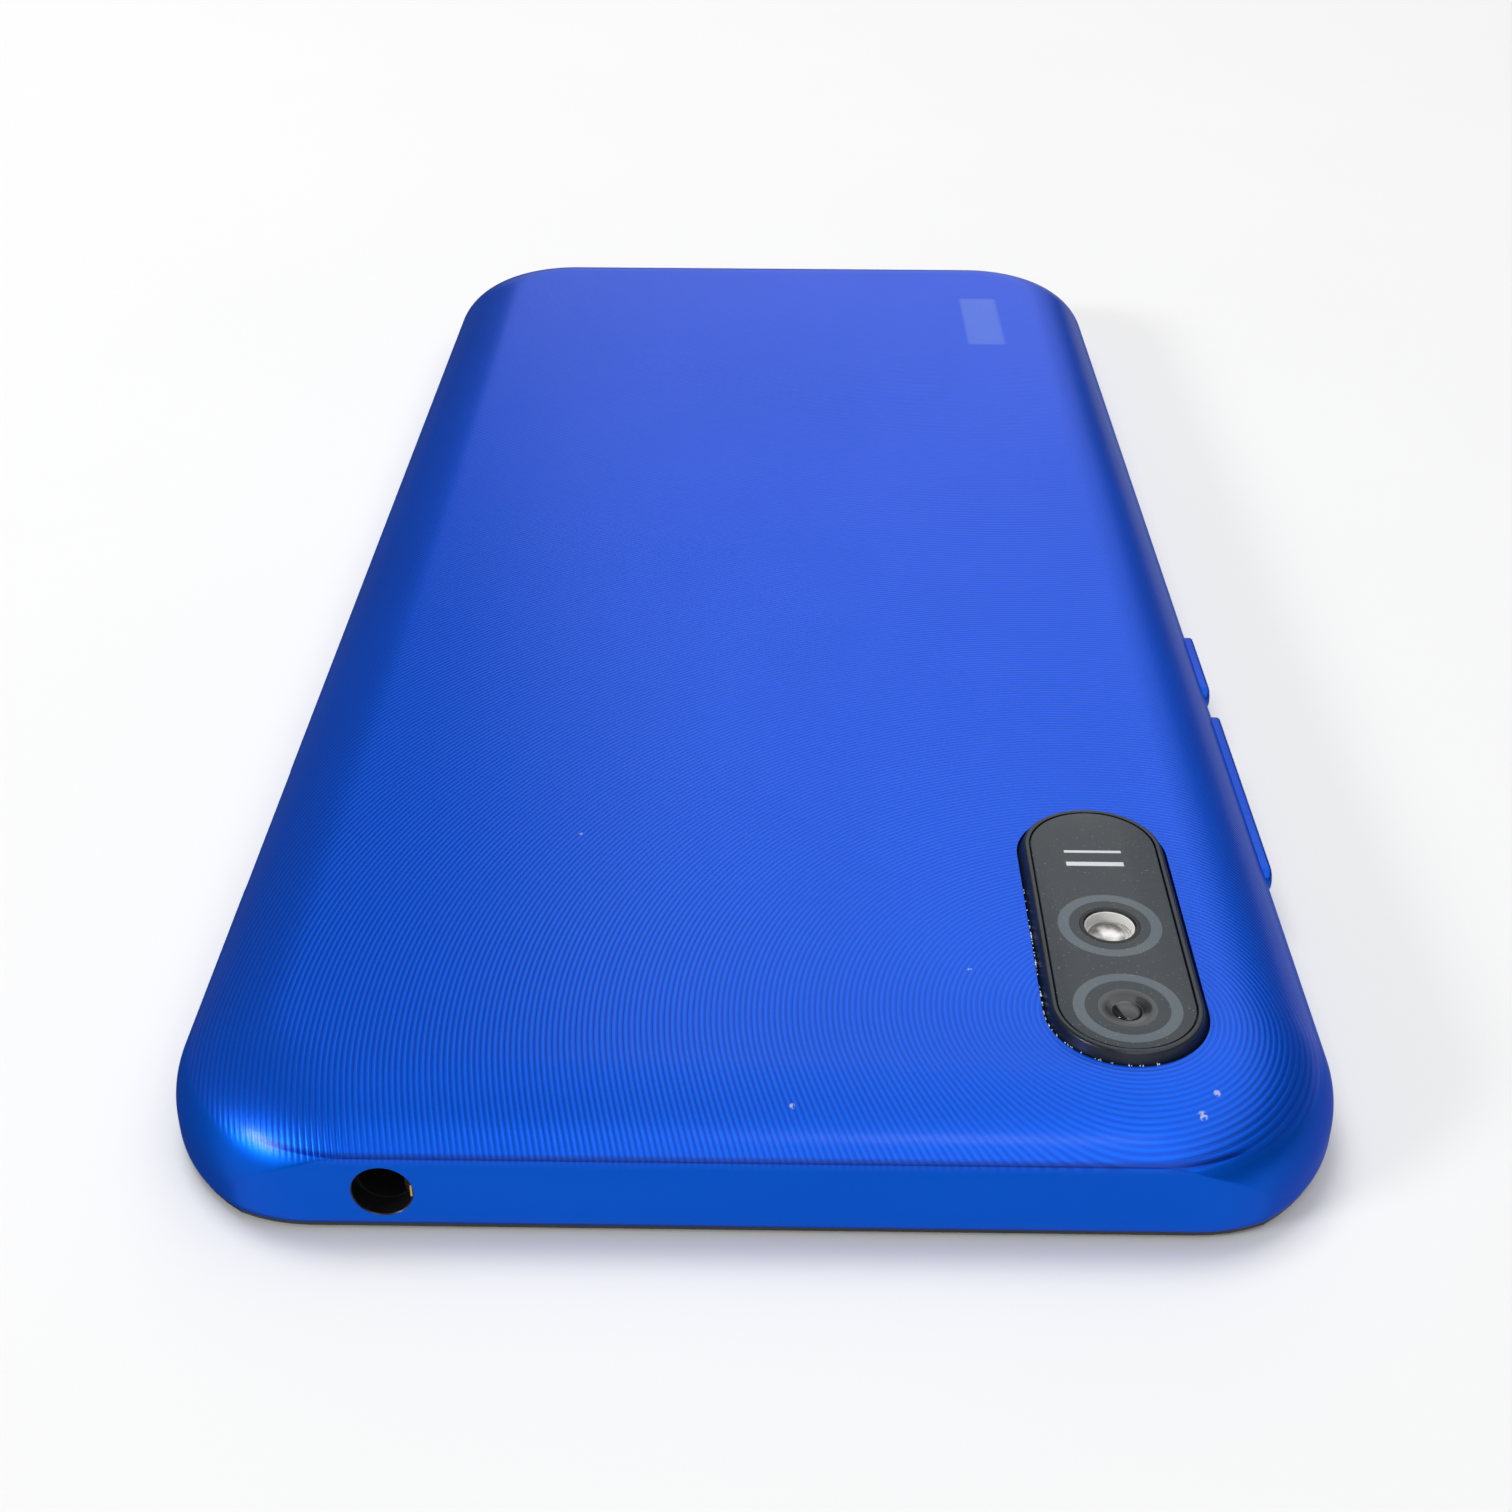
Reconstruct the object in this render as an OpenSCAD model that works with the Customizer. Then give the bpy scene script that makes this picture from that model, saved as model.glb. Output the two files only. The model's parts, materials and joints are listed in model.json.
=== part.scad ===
// Slab smartphone lying on its glass: blue one-piece rear cover, pill-shaped camera island.
// Millimetres. X is the width, Y the length with the top edge at -Y, +Z points out of the back.
// The origin is the centre of the glass's outer face.

/* [Body] */
// Width across the long sides
body_w = 77.07; // [76.8:0.01:77.4]
// Length from end face to end face
body_l = 164.9; // [164.6:0.1:165.3]
// Thickness from the glass to the flat of the back
body_t = 9; // [9:0.05:9.3]
// Plan radius of the corners
corner_r = 11; // [10.5:0.1:11.5]
// Height at which the sides are widest
belly_z = 2.5; // [2.3:0.1:2.6]
// How far the rounded back edge reaches in from the side
edge_reach = 8; // [7.6:0.1:8.2]
// How far the rounded back edge would overshoot the flat end faces
end_overshoot = 1.39; // [1.3:0.01:1.5]
// Wall of the rear cover at the sides
side_wall = 1.43; // [1.3:0.01:1.5]
// Thickness of the rear cover's flat back
back_wall = 1; // [0.9:0.05:1.1]

/* [Display] */
// Thickness of the cover glass
glass_t = 0.45; // [0.4:0.05:0.45]
// Width of the black rim left around the glass
rim_w = 0.9; // [0.8:0.05:1]
// Thickness of the display panel
panel_t = 1; // [0.9:0.05:1]
// Width of the display panel
panel_w = 70; // [69:0.5:70]

/* [Camera island] */
// Distance of the island's centre line from the phone's
island_x = 24.25; // [24:0.05:24.5]
// Width of the island's top face
island_w = 9.8; // [9.6:0.1:10.2]
// How far the island's foot spreads beyond its top face
island_spread = 0.4; // [0.3:0.05:0.45]
// End of the island's top face farther from the top edge
island_y0 = -47.8; // [-48:0.05:-47.5]
// End of the island's top face nearer the top edge
island_y1 = -75.7; // [-75.8:0.05:-75]
// How far the island stands above the back
island_rise = 0.75; // [0.6:0.05:0.9]
// Lens centre along the length
lens_y = -71.18; // [-71.4:0.02:-71]
// Flash centre along the length
flash_y = -62.2; // [-62.5:0.1:-62]

/* [Controls] */
// How far the keys stand out of the side
key_rise = 0.18; // [0.1:0.02:0.5]
// Height of the keys
key_h = 2.2; // [2:0.1:2.3]
// Length of the power key
power_len = 10.5; // [10:0.5:11]
// Centre of the power key
power_y = -16.35; // [-16.6:0.05:-16]
// Length of the volume rocker
volume_len = 23.8; // [23:0.2:24.2]
// Centre of the volume rocker
volume_y = -37.1; // [-37.3:0.1:-36.9]
// Gap round each key and the card tray
key_gap = 0.12; // [0.1:0.01:0.15]

/* [Sockets] */
// Radius of the headphone bore
jack_r = 1.78; // [1.76:0.01:1.8]
// Distance of the headphone socket from the centre line
jack_x = -22.9; // [-23.2:0.1:-22.6]
// Height of the headphone socket's axis
jack_z = 3.5; // [3.5:0.05:3.55]
// Depth of the headphone bore
jack_depth = 14; // [13.5:0.5:14]
// Outer width of the USB shell
usb_w = 7.5; // [7.3:0.1:7.6]
// Outer height of the USB shell
usb_h = 2.7; // [2.6:0.1:2.8]
// Radius of the card tray's pin hole
pin_hole_r = 0.5; // [0.45:0.05:0.55]

/* [Hidden] */
half_w = body_w / 2;
half_l = body_l / 2;
eps = 0.05;
round_fn = 48;
pillow_r = 14;
cavity_reach = edge_reach - 1;

// Heights of the stack, glass side to back
rim_z0 = 0.37;
cover_z0 = 0.68;
ledge_z0 = glass_t + 0.1;
panel_z1 = glass_t + panel_t;
plate_z0 = panel_z1 + 0.05;
plate_z1 = plate_z0 + 0.4;
cavity_z1 = body_t - back_wall;
board_z0 = 2.6;
board_z1 = 3.4;

// Ring widths of the mid frame, as distances in from the widest outline
rim_in = 0.28;
lip_in = 0.6;
wall_in = side_wall + 0.1;
ring_inner_in = 2.93;

// Side and tray heights
key_z = 3.9;
tray_z = 4;
tray_len = 37;
tray_w = 14.6;
tray_face_y = -44;
tray_y = tray_face_y - 0.2;
tray_face_w = 18;
tray_face_h = 2.2;
tray_end_x = 0.3;
tray_root_x = tray_end_x - tray_len;
rod_y = tray_face_y + tray_face_w / 2 - tray_face_h / 2;
arm_pivot = [3.4, rod_y - 5];
rocker_pivot_x = 35.3;

jack_mouth_y = -half_l + side_wall;
usb_z = 3.55;
island_top = body_t + island_rise;
window_t = 0.5;
window_z0 = island_top - 0.03 - window_t;
lens_bore_r = 3.3;
flash_bore_r = 2.1;
speaker_slots = 6;
speaker_pitch = 2.4;
speaker_x = 19;

upper_screws = [[-31, -62], [31, -62], [-31, -31.2], [31, -31.2]];
lower_screws = [[-29.5, 65.5], [-8, 66]];
speaker_screw = [28.5, 65.5];
screw_r = 0.65;
screw_hole_r = 0.75;
screw_head_r = 1.3;
post_r = 1.6;

// Box between two opposite corners
module block(a, b) {
    translate(a) cube(b - a);
}

// Rounded rectangle centred on the origin, from its half sizes
module round_rect(hw, hl, r) {
    square([2 * hw, 2 * (hl - r)], center = true);
    square([2 * (hw - r), 2 * hl], center = true);
    for (sx = [-1, 1], sy = [-1, 1]) {
        translate([sx * (hw - r), sy * (hl - r)]) circle(r, $fn = round_fn);
    }
}

// Slab with rounded corners between two heights
module slab(hw, hl, r, z0, z1) {
    translate([0, 0, z0]) linear_extrude(z1 - z0) round_rect(hw, hl, r);
}

// Slab of the phone's own outline, moved in by a distance
module inset_slab(d, z0, z1) {
    intersection() {
        slab(half_w - d, half_l + end_overshoot - d, pillow_r - d, z0, z1);
        slab(half_w + 0.2 - d, half_l - d, corner_r - d, z0 - 1, z1 + 1);
    }
}

// Box with upright rounded corners between two opposite corners
module round_box(a, b, r) {
    size = b - a;
    translate([(a.x + b.x) / 2, (a.y + b.y) / 2, 0]) slab(size.x / 2, size.y / 2, r, a.z, b.z);
}

// Upright pill between two points on the line x = cx
module pill(cx, y0, y1, w, z0, z1) {
    r = w / 2;
    translate([cx, (y0 + y1) / 2, z0]) linear_extrude(z1 - z0) {
        square([w, abs(y1 - y0) - w], center = true);
        for (s = [-1, 1]) {
            translate([0, s * (abs(y1 - y0) / 2 - r)]) circle(r, $fn = round_fn);
        }
    }
}

// Pill whose width changes evenly from w0 to w1 between two heights, its ends measured at w1
module pill_cone(cx, y0, y1, w0, w1, z0, z1) {
    c0 = y0 - w1 / 2;
    c1 = y1 + w1 / 2;
    translate([cx, c0, z0]) rotate([90, 0, 0]) linear_extrude(c0 - c1)
        polygon([[-w0 / 2, 0], [w0 / 2, 0], [w1 / 2, z1 - z0], [-w1 / 2, z1 - z0]]);
    for (y = [c0, c1]) {
        translate([cx, y, z0]) cylinder(h = z1 - z0, r1 = w0 / 2, r2 = w1 / 2, $fn = round_fn);
    }
}

// Pill lying along Y in a side wall, extruded along X
module side_pill(x0, x1, cy, cz, len, h) {
    r = h / 2;
    block([x0, cy - len / 2 + r, cz - r], [x1, cy + len / 2 - r, cz + r]);
    for (s = [-1, 1]) {
        translate([x0, cy + s * (len / 2 - r), cz]) rotate([0, 90, 0]) cylinder(h = x1 - x0, r = r, $fn = round_fn);
    }
}

// Cylinder along +Y
module y_rod(x, y0, y1, z, r) {
    translate([x, y0, z]) rotate([-90, 0, 0]) cylinder(h = y1 - y0, r = r, $fn = round_fn);
}

// Upright cylinder
module post(p, z0, z1, r) {
    translate([p.x, p.y, z0]) cylinder(h = z1 - z0, r = r, $fn = round_fn);
}

// Half outline of a pillow section: distance out from the axis against height
function edge_curve(out, z0, zb, z1, reach, steps, tuck) = concat(
    [[0, z0], [out - tuck, z0], [out, z0 + 3 * tuck + 0.01], [out, zb]],
    [for (k = [1 : steps]) let (t = 90 * k / steps) [out - reach * (1 - cos(t)), zb + (z1 - zb) * sin(t)]],
    [[0, z1]]);

function mirrored(p) = concat(p, [for (k = [len(p) - 2 : -1 : 1]) [-p[k].x, p[k].y]]);

// Pillow: rounded rectangle in plan whose back edge rolls in along an elliptical curve
module pillow(hw, hl, r, z0, z1, reach, steps, tuck) {
    side = edge_curve(hw, z0, belly_z, z1, reach, steps, tuck);
    end = edge_curve(hl, z0, belly_z, z1, reach, steps, tuck);
    corner = edge_curve(r, z0, belly_z, z1, reach, steps, tuck);
    translate([0, hl - r, 0]) rotate([90, 0, 0]) linear_extrude(2 * (hl - r)) polygon(mirrored(side));
    translate([r - hw, 0, 0]) rotate([90, 0, 90]) linear_extrude(2 * (hw - r)) polygon(mirrored(end));
    for (q = [0 : 3]) {
        sx = (q == 0 || q == 3) ? 1 : -1;
        sy = q < 2 ? 1 : -1;
        translate([sx * (hw - r), sy * (hl - r), 0]) rotate([0, 0, 90 * q])
            rotate_extrude(angle = 90, $fn = round_fn) polygon(corner);
    }
}

// The phone's form moved in by a distance: a pillow with flat end faces
module phone_form(d, z0, z1, reach, steps, tuck) {
    intersection() {
        pillow(half_w - d, half_l + end_overshoot - d, pillow_r - d, z0, z1, reach, steps, tuck);
        slab(half_w + 0.2 - d, half_l - d, corner_r - d, z0 - 1, z1 + 1);
    }
}

module speaker_slot_row(y0, y1, z0, z1) {
    for (k = [0 : speaker_slots - 1]) {
        x = speaker_x + (k - (speaker_slots - 1) / 2) * speaker_pitch;
        block([x - 0.55, y0, z0 + 0.55], [x + 0.55, y1, z1 - 0.55]);
        y_rod(x, y0, y1, z0 + 0.55, 0.55);
        y_rod(x, y0, y1, z1 - 0.55, 0.55);
    }
}

module rear_cover() {
    color("royalblue") difference() {
        phone_form(0, cover_z0, body_t, edge_reach, 6, rim_in - 0.02);
        phone_form(side_wall, belly_z - 1.2, cavity_z1, cavity_reach, 4, 0);
        inset_slab(lip_in - 0.05, cover_z0 - 1, 1.35);
        pill(island_x, island_y0 + island_spread + 0.12, island_y1 - island_spread - 0.12,
            island_w + 2 * island_spread + 0.24, 6, body_t + 1);
        // moulding relief, a narrow flat at the near end of the island's opening
        block([island_x - 1.2, island_y1 - island_spread - 0.14, 6], [island_x + 1.2, island_y1, body_t + 1]);
        y_rod(jack_x, -half_l - 1, -half_l + 3, jack_z, jack_r + 0.12);
        side_pill(half_w - 4, half_w + 1, power_y, key_z, power_len + 2 * key_gap, key_h + 2 * key_gap);
        side_pill(half_w - 4, half_w + 1, volume_y, key_z, volume_len + 2 * key_gap, key_h + 2 * key_gap);
        side_pill(-half_w - 1, -half_w + 4, tray_face_y, tray_z, tray_face_w + 0.16, tray_face_h + 0.16);
        translate([0, 0, usb_z]) rotate([-90, 0, 0])
            translate([0, 0, half_l - 3]) linear_extrude(4) round_rect(usb_w / 2 + 0.2, usb_h / 2 + 0.2, 1.2);
        y_rod(-14, half_l - 3, half_l + 1, usb_z, 0.5);
        speaker_slot_row(half_l - 3, half_l + 1, usb_z - 1.1, usb_z + 1.1);
    }
}

module camera_bezel() {
    color("#15181b") difference() {
        union() {
            pill(island_x, island_y0 + island_spread, island_y1 - island_spread,
                island_w + 2 * island_spread, 7.3, body_t - 0.1);
            pill_cone(island_x, island_y0, island_y1, island_w + 2 * island_spread, island_w, body_t - 0.1, island_top);
            block([island_x - 5.8, -73.2, 7.55], [island_x + 5.8, -48.5, cavity_z1 - 0.1]);
        }
        pill(island_x, island_y0 - 0.32, island_y1 + 0.32, island_w - 0.64, window_z0, island_top + 1);
        post([island_x, lens_y], 7, island_top, lens_bore_r);
        post([island_x, flash_y], 7, island_top, flash_bore_r);
    }
}

module camera_window() {
    color("#3c4448") difference() {
        pill(island_x, island_y0 - 0.36, island_y1 + 0.36, island_w - 0.72, window_z0, window_z0 + window_t);
        post([island_x, flash_y], window_z0 - 1, island_top + 1, flash_bore_r);
    }
}

module flash_lens() {
    color("white", 0.5) post([island_x, flash_y], 7.75, island_top - 0.25, flash_bore_r - 0.1);
}

module flash_led() {
    color("khaki") block([island_x - 1.2, flash_y - 1.2, 6.5], [island_x + 1.2, flash_y + 1.2, 7.3]);
}

module camera_gasket() {
    color("#222222") difference() {
        post([island_x, lens_y], 6.8, 7.3, 4.2);
        post([island_x, lens_y], 6, 8, 3.4);
    }
}

module power_button() {
    color("royalblue") {
        side_pill(35.9, half_w + key_rise, power_y, key_z, power_len, key_h);
        block([35.6, power_y - 5.9, key_z - 1.1], [36.05, power_y + 5.9, key_z + 1.1]);
        block([35.35, power_y - 1, key_z - 0.8], [35.6, power_y + 1, key_z + 0.8]);
    }
}

module volume_button() {
    color("royalblue") {
        side_pill(35.7, half_w + key_rise, volume_y, key_z, volume_len, key_h);
        block([35.4, volume_y - 12.5, key_z - 1.1], [35.85, volume_y + 12.5, key_z + 1.1]);
        post([rocker_pivot_x, volume_y], key_z - 0.8, key_z + 0.8, 0.25);
        for (s = [-1, 1]) {
            block([35.25, volume_y + s * 7 - 1, key_z - 0.8], [35.4, volume_y + s * 7 + 1, key_z + 0.8]);
        }
    }
}

module side_key_flex() {
    color("#b5651d") {
        block([34.55, -50.5, 2.8], [34.7, -9.5, 5]);
        for (y = [power_y, volume_y - 7, volume_y + 7]) {
            translate([34.7, y, key_z]) rotate([0, 90, 0]) cylinder(h = 0.3, r = 1, $fn = round_fn);
        }
        block([33, -9.5, 2.8], [34.7, -9.35, 5]);
    }
}

module key_bracket() {
    color("silver") {
        block([34.15, -51, plate_z1], [34.55, -9.6, 5.2]);
        block([32.4, -51, plate_z1], [34.15, -47.5, 2.2]);
        block([32.4, -14, plate_z1], [34.15, -10.5, 2.2]);
    }
}

module sim_tray() {
    color("#2a52c9") intersection() {
        difference() {
            union() {
                side_pill(-half_w - 1, tray_root_x + 0.1, tray_face_y, tray_z, tray_face_w, tray_face_h);
                block([tray_root_x, tray_y - tray_w / 2, 3.8], [tray_end_x, tray_y + tray_w / 2, 4.6]);
            }
            translate([-half_w - 2, rod_y, tray_z]) rotate([0, 90, 0])
                cylinder(h = 5, r = pin_hole_r, $fn = round_fn);
            for (x = [-35.6, -25.8]) {
                block([x, tray_y - 6.2, 4], [x + 8.9, tray_y + 6.2, 5]);
                block([x + 1, tray_y - 5.2, 3], [x + 7.9, tray_y + 5.2, 5]);
            }
            block([-15.8, tray_y - 5.6, 4], [-0.7, tray_y + 5.6, 5]);
            block([-14.8, tray_y - 4.6, 3], [-1.7, tray_y + 4.6, 5]);
        }
        translate([0, tray_y + 10, 0]) rotate([90, 0, 0]) linear_extrude(20)
            polygon(mirrored(edge_curve(half_w, cover_z0, belly_z, body_t, edge_reach, 6, rim_in - 0.02)));
    }
}

module sim_reader() {
    color("silver") difference() {
        block([-35.95, tray_face_y - 8.6, board_z1], [5.85, tray_face_y + 9.4, 5.15]);
        block([-37, tray_face_y - 8.35, board_z1 + 0.2], [5.6, tray_face_y + 9.15, 5]);
        block([-30, tray_y - 4, 4.8], [-4, tray_y + 4, 6]);
    }
}

module sim_eject_rod() {
    color("silver") block([-35.7, rod_y - 0.3, tray_z - 0.3], [arm_pivot.x - 0.55, rod_y + 0.3, tray_z + 0.3]);
}

module sim_eject_arm() {
    color("silver") difference() {
        union() {
            block([arm_pivot.x - 0.4, arm_pivot.y - 8.2, tray_z - 0.3], [arm_pivot.x + 0.4, arm_pivot.y + 5.4, tray_z + 0.3]);
            post(arm_pivot, tray_z - 0.3, tray_z + 0.3, 1);
        }
        post(arm_pivot, tray_z - 1, tray_z + 1, 0.4);
    }
}

module mid_frame() {
    color("#111111") difference() {
        union() {
            inset_slab(rim_in, rim_z0, cover_z0);
            inset_slab(lip_in, ledge_z0, 1.3);
            inset_slab(wall_in, 1.2, 2.4);
        }
        inset_slab(rim_w + rim_in - 0.05, 0, ledge_z0);
        inset_slab(ring_inner_in, 0, 3);
        block([-6, -half_l + 1.2, 0], [6, -half_l + 1.8, 3]);
        block([jack_x - 3.6, -half_l, panel_z1 + 0.05], [jack_x + 3.6, -half_l + 4, 3]);
        block([-usb_w / 2 - 0.5, half_l - 4, 1.9], [usb_w / 2 + 0.5, half_l, 3]);
        block([speaker_x - 8.4, half_l - 4, 1.9], [speaker_x + 8.4, half_l, 3]);
    }
}

module mid_plate() {
    color("#8a8d90") difference() {
        union() {
            inset_slab(ring_inner_in, plate_z0, plate_z1);
            for (p = concat(upper_screws, lower_screws)) {
                post(p, plate_z1 - eps, board_z0, post_r);
            }
        }
        for (p = concat(upper_screws, lower_screws)) {
            post(p, 1, 3, screw_hole_r - 0.1);
        }
        post(speaker_screw, 1, 3, screw_hole_r - 0.1);
        block([-3.3, -79.2, 1], [3.3, -72.4, 3]);
        block([jack_x - 3.6, -90, 1], [jack_x + 3.6, jack_mouth_y + jack_depth + 0.8, 3]);
        block([-12.4, 77.7, 1], [-1.6, 78.4, 3]);
    }
}

module display_panel() {
    color("#101418") difference() {
        round_box([-panel_w / 2, -79, glass_t], [panel_w / 2, 77.4, panel_z1], 8);
        post([0, -75.6], 0, 3, 2.1);
        block([-2.1, -80, 0], [2.1, -75.6, 3]);
    }
}

module cover_glass() {
    color("#0b0d10", 0.9) difference() {
        inset_slab(rim_w + rim_in, 0, glass_t);
        round_box([-5.6, -81.3, -1], [5.6, -80.7, 1], 0.29);
    }
}

module display_adhesive() {
    color("#202020") difference() {
        inset_slab(rim_w + rim_in + 0.1, glass_t, ledge_z0);
        round_box([-panel_w / 2 - 0.1, -79.1, 0], [panel_w / 2 + 0.1, 77.5, 3], 8);
        block([-6, -82, 0], [6, -80.2, 3]);
    }
}

module display_flex() {
    color("#b5651d") {
        block([-12, 77.4, 1], [-2, 78.1, 1.1]);
        block([-12, 78, 1], [-2, 78.1, 2.15]);
        block([-12, 72, 2.05], [-2, 78.1, 2.15]);
    }
}

module earpiece_mesh() {
    color("#303030") block([-5.5, -81.2, 0.2], [5.5, -80.8, 1.2]);
}

module earpiece_receiver() {
    color("#2b2b2b") {
        round_box([6.5, -79.4, plate_z1], [18.5, -73.4, 4.6], 1);
        block([8, -78, 4.6], [17, -74.8, 4.9]);
    }
}

module front_camera() {
    color("#1c1c1c") {
        block([-3, -78.8, panel_z1], [3, -72.8, 5]);
        post([0, -75.6], glass_t + 0.05, panel_z1, 1.8);
    }
}

module proximity_sensor() {
    color("#1c1c1c") block([-12.5, -78.4, plate_z1], [-8.5, -76.4, board_z0]);
}

module rear_camera_module() {
    color("#202224") difference() {
        block([island_x - 4.3, lens_y - 4.3, plate_z1], [island_x + 4.3, lens_y + 4.3, 6.8]);
        post([island_x, lens_y], 4.2, 7, 3.05);
    }
}

module rear_camera_lens() {
    color("#0c0e12") {
        post([island_x, lens_y], 4.3, 8, 3);
        post([island_x, lens_y], 8, 8.85, 2.6);
    }
}

module board_hole(p) {
    post(p, 1, 8, screw_hole_r);
}

module main_board() {
    color("#1d5c3a") difference() {
        union() {
            block([-34, -66, board_z0], [34, -29, board_z1]);
            block([-17, -79, board_z0], [-5, -66, board_z1]);
        }
        for (p = upper_screws) board_hole(p);
    }
}

module processor_chip() {
    color("#1a1a1a") block([8, -54, board_z1], [20, -42, 4.4]);
}

module memory_chip() {
    color("#242424") block([21.5, -54, board_z1], [30.5, -43, 4.3]);
}

module thermal_pad() {
    color("#9aa7b5") block([8.5, -53.5, 4.4], [19.5, -42.5, 5.2]);
}

// Open-bottomed sheet cover soldered to the board
module sheet_can(a, b, wall) {
    difference() {
        block(a, b);
        block(a + [wall, wall, -1], b - [wall, wall, wall]);
    }
}

module shield_can_processor() {
    color("silver") sheet_can([6.4, -58, board_z1], [32, -36, 5.4], 0.2);
}

module shield_can_radio() {
    color("silver") sheet_can([-28, -65, board_z1], [2, -54.5, 5.2], 0.2);
}

module board_connectors() {
    color("#2a2a2a") {
        block([5, -32, board_z1], [11, -29.6, 4.2]);
        block([-4.5, -34.5, 2.02], [4.5, -31.5, board_z0]);
        block([-4.5, 65, 2.02], [4.5, 68, board_z0]);
        block([-11, 72, 2.15], [-3, 75, board_z0]);
    }
}

module antenna_springs() {
    color("gold") for (p = [[-15, -77], [-8, -70], [-22, -31], [18, -32]]) {
        block([p.x - 0.8, p.y - 0.5, board_z1], [p.x + 0.8, p.y + 0.5, 3.6]);
        block([p.x - 0.8, p.y - 0.5, 3.6], [p.x - 0.6, p.y + 0.5, 5.6]);
        block([p.x - 0.8, p.y - 0.5, 5.6], [p.x + 0.8, p.y + 0.5, 5.8]);
    }
}

module upper_bracket() {
    color("#1a1c1f") difference() {
        union() {
            block([-33, -65.5, 6.4], [33, -29.5, 7]);
            for (p = upper_screws) post(p, board_z1, 6.5, post_r);
        }
        for (p = upper_screws) board_hole(p);
        block([island_x - 1.7, flash_y - 1.7, 6], [island_x + 1.7, flash_y + 1.7, 8]);
    }
}

module battery() {
    color("#2c2e31") round_box([-31.5, -25, plate_z1 + 0.15], [31.5, 59, 6.95], 1.5);
}

module battery_adhesive() {
    color("white") for (s = [-1, 1]) {
        block([s * 16 - 6, -20, plate_z1], [s * 16 + 6, 56, plate_z1 + 0.15]);
        block([s * 16 - 3, 56, plate_z1], [s * 16 + 3, 61.5, plate_z1 + 0.15]);
    }
}

module battery_circuit() {
    color("#b5651d") {
        block([-20, -27.6, 3], [20, -25, 6]);
        block([5.4, -32, 4.2], [10.6, -27.6, 4.4]);
    }
}

module interconnect_flex() {
    color("#b5651d") block([-5, -35, plate_z1 + 0.02], [5, 68.5, 2.02]);
}

module coax_cable() {
    color("#3a3a3a") {
        y_rod(-33.9, -27.6, 70, 3.9, 0.4);
        for (y = [-27.6, 70]) {
            translate([-33.9, y, 3.9]) sphere(0.4, $fn = 24);
        }
        translate([-33.9, 70, 3.9]) rotate([0, 90, 0]) cylinder(h = 2, r = 0.4, $fn = round_fn);
        translate([-33.9, -27.6, 3.9]) rotate([0, 90, 0]) cylinder(h = 7.4, r = 0.4, $fn = round_fn);
        translate([-26.5, -27.6, 3.9]) sphere(0.4, $fn = 24);
        y_rod(-26.5, -30, -27.6, 3.9, 0.4);
        post([-26.5, -30.5], board_z1, 4.3, 1.1);
        post([-31.2, 70], board_z1, 4.3, 1.1);
    }
}

module sub_board() {
    color("#1d5c3a") difference() {
        union() {
            block([-33, 63, board_z0], [5.5, 70, board_z1]);
            block([-24, 70, board_z0], [5.5, 78.5, board_z1]);
            intersection() {
                post([-24, 69.5], board_z0, board_z1, 9);
                block([-33, 69.5, board_z0], [-24, 78.5, board_z1]);
            }
        }
        block([-usb_w / 2 - 0.1, 76.2, 2], [usb_w / 2 + 0.1, 80, 4]);
        for (p = lower_screws) board_hole(p);
    }
}

module usb_port() {
    color("silver") difference() {
        translate([0, 0, usb_z]) rotate([-90, 0, 0])
            translate([0, 0, 76.4]) linear_extrude(half_l - 0.3 - 76.4) round_rect(usb_w / 2, usb_h / 2, 1);
        translate([0, 0, usb_z]) rotate([-90, 0, 0])
            translate([0, 0, 77]) linear_extrude(8) round_rect(usb_w / 2 - 0.3, usb_h / 2 - 0.3, 0.7);
    }
}

module usb_tongue() {
    color("#e8e8e8") block([-1.9, 77, usb_z + 0.15], [1.9, 81, usb_z + 0.7]);
}

module microphone() {
    color("gold") difference() {
        block([-16, 74.2, board_z1], [-12.4, 77.4, 4.5]);
        post([-14.2, 75.8], 4.2, 5, 0.3);
    }
}

module lower_bracket() {
    color("#1a1c1f") difference() {
        union() {
            round_box([-31.2, 63.5, 6.3], [5.5, 76.3, 6.9], 5);
            for (p = lower_screws) post(p, board_z1, 6.4, post_r);
        }
        for (p = lower_screws) board_hole(p);
        post([-21, 71.5], 6, 8, 4.2);
    }
}

module speaker_module() {
    color("#1a1c1f") difference() {
        union() {
            difference() {
                round_box([7, 62, plate_z1], [32.5, 77.2, 6.9], 4);
                round_box([7.8, 62.8, 2.8], [31.7, 76.4, 6.1], 3.2);
            }
            post(speaker_screw, plate_z1, 6.9, post_r + 0.2);
            post([16.5, 69.5], 2.5, 4, 5);
        }
        post(speaker_screw, 1, 8, screw_hole_r);
        block([speaker_x - 7, 76, 3], [speaker_x + 7, 78, 4.6]);
    }
}

module speaker_cone() {
    color("#444444") round_box([9.2, 64.4, 4.4], [23.8, 74.6, 4.8], 3);
}

module speaker_mesh() {
    color("#303030") block([speaker_x - 8, half_l - 1.9, 2], [speaker_x + 8, half_l - 1.55, 5]);
}

module vibration_case() {
    color("silver") difference() {
        post([-21, 71.5], board_z1, 6.2, 4);
        post([-21, 71.5], 3.7, 5.9, 3.7);
    }
    color("silver") post([-21, 71.5], 3.6, 6, 0.35);
}

module vibration_weight() {
    color("#70757a") difference() {
        post([-21, 71.5], 3.9, 5.7, 3.5);
        post([-21, 71.5], 3, 7, 0.4);
        block([-26, 71.5 + 0.8, 3], [-16, 76, 7]);
    }
}

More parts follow.
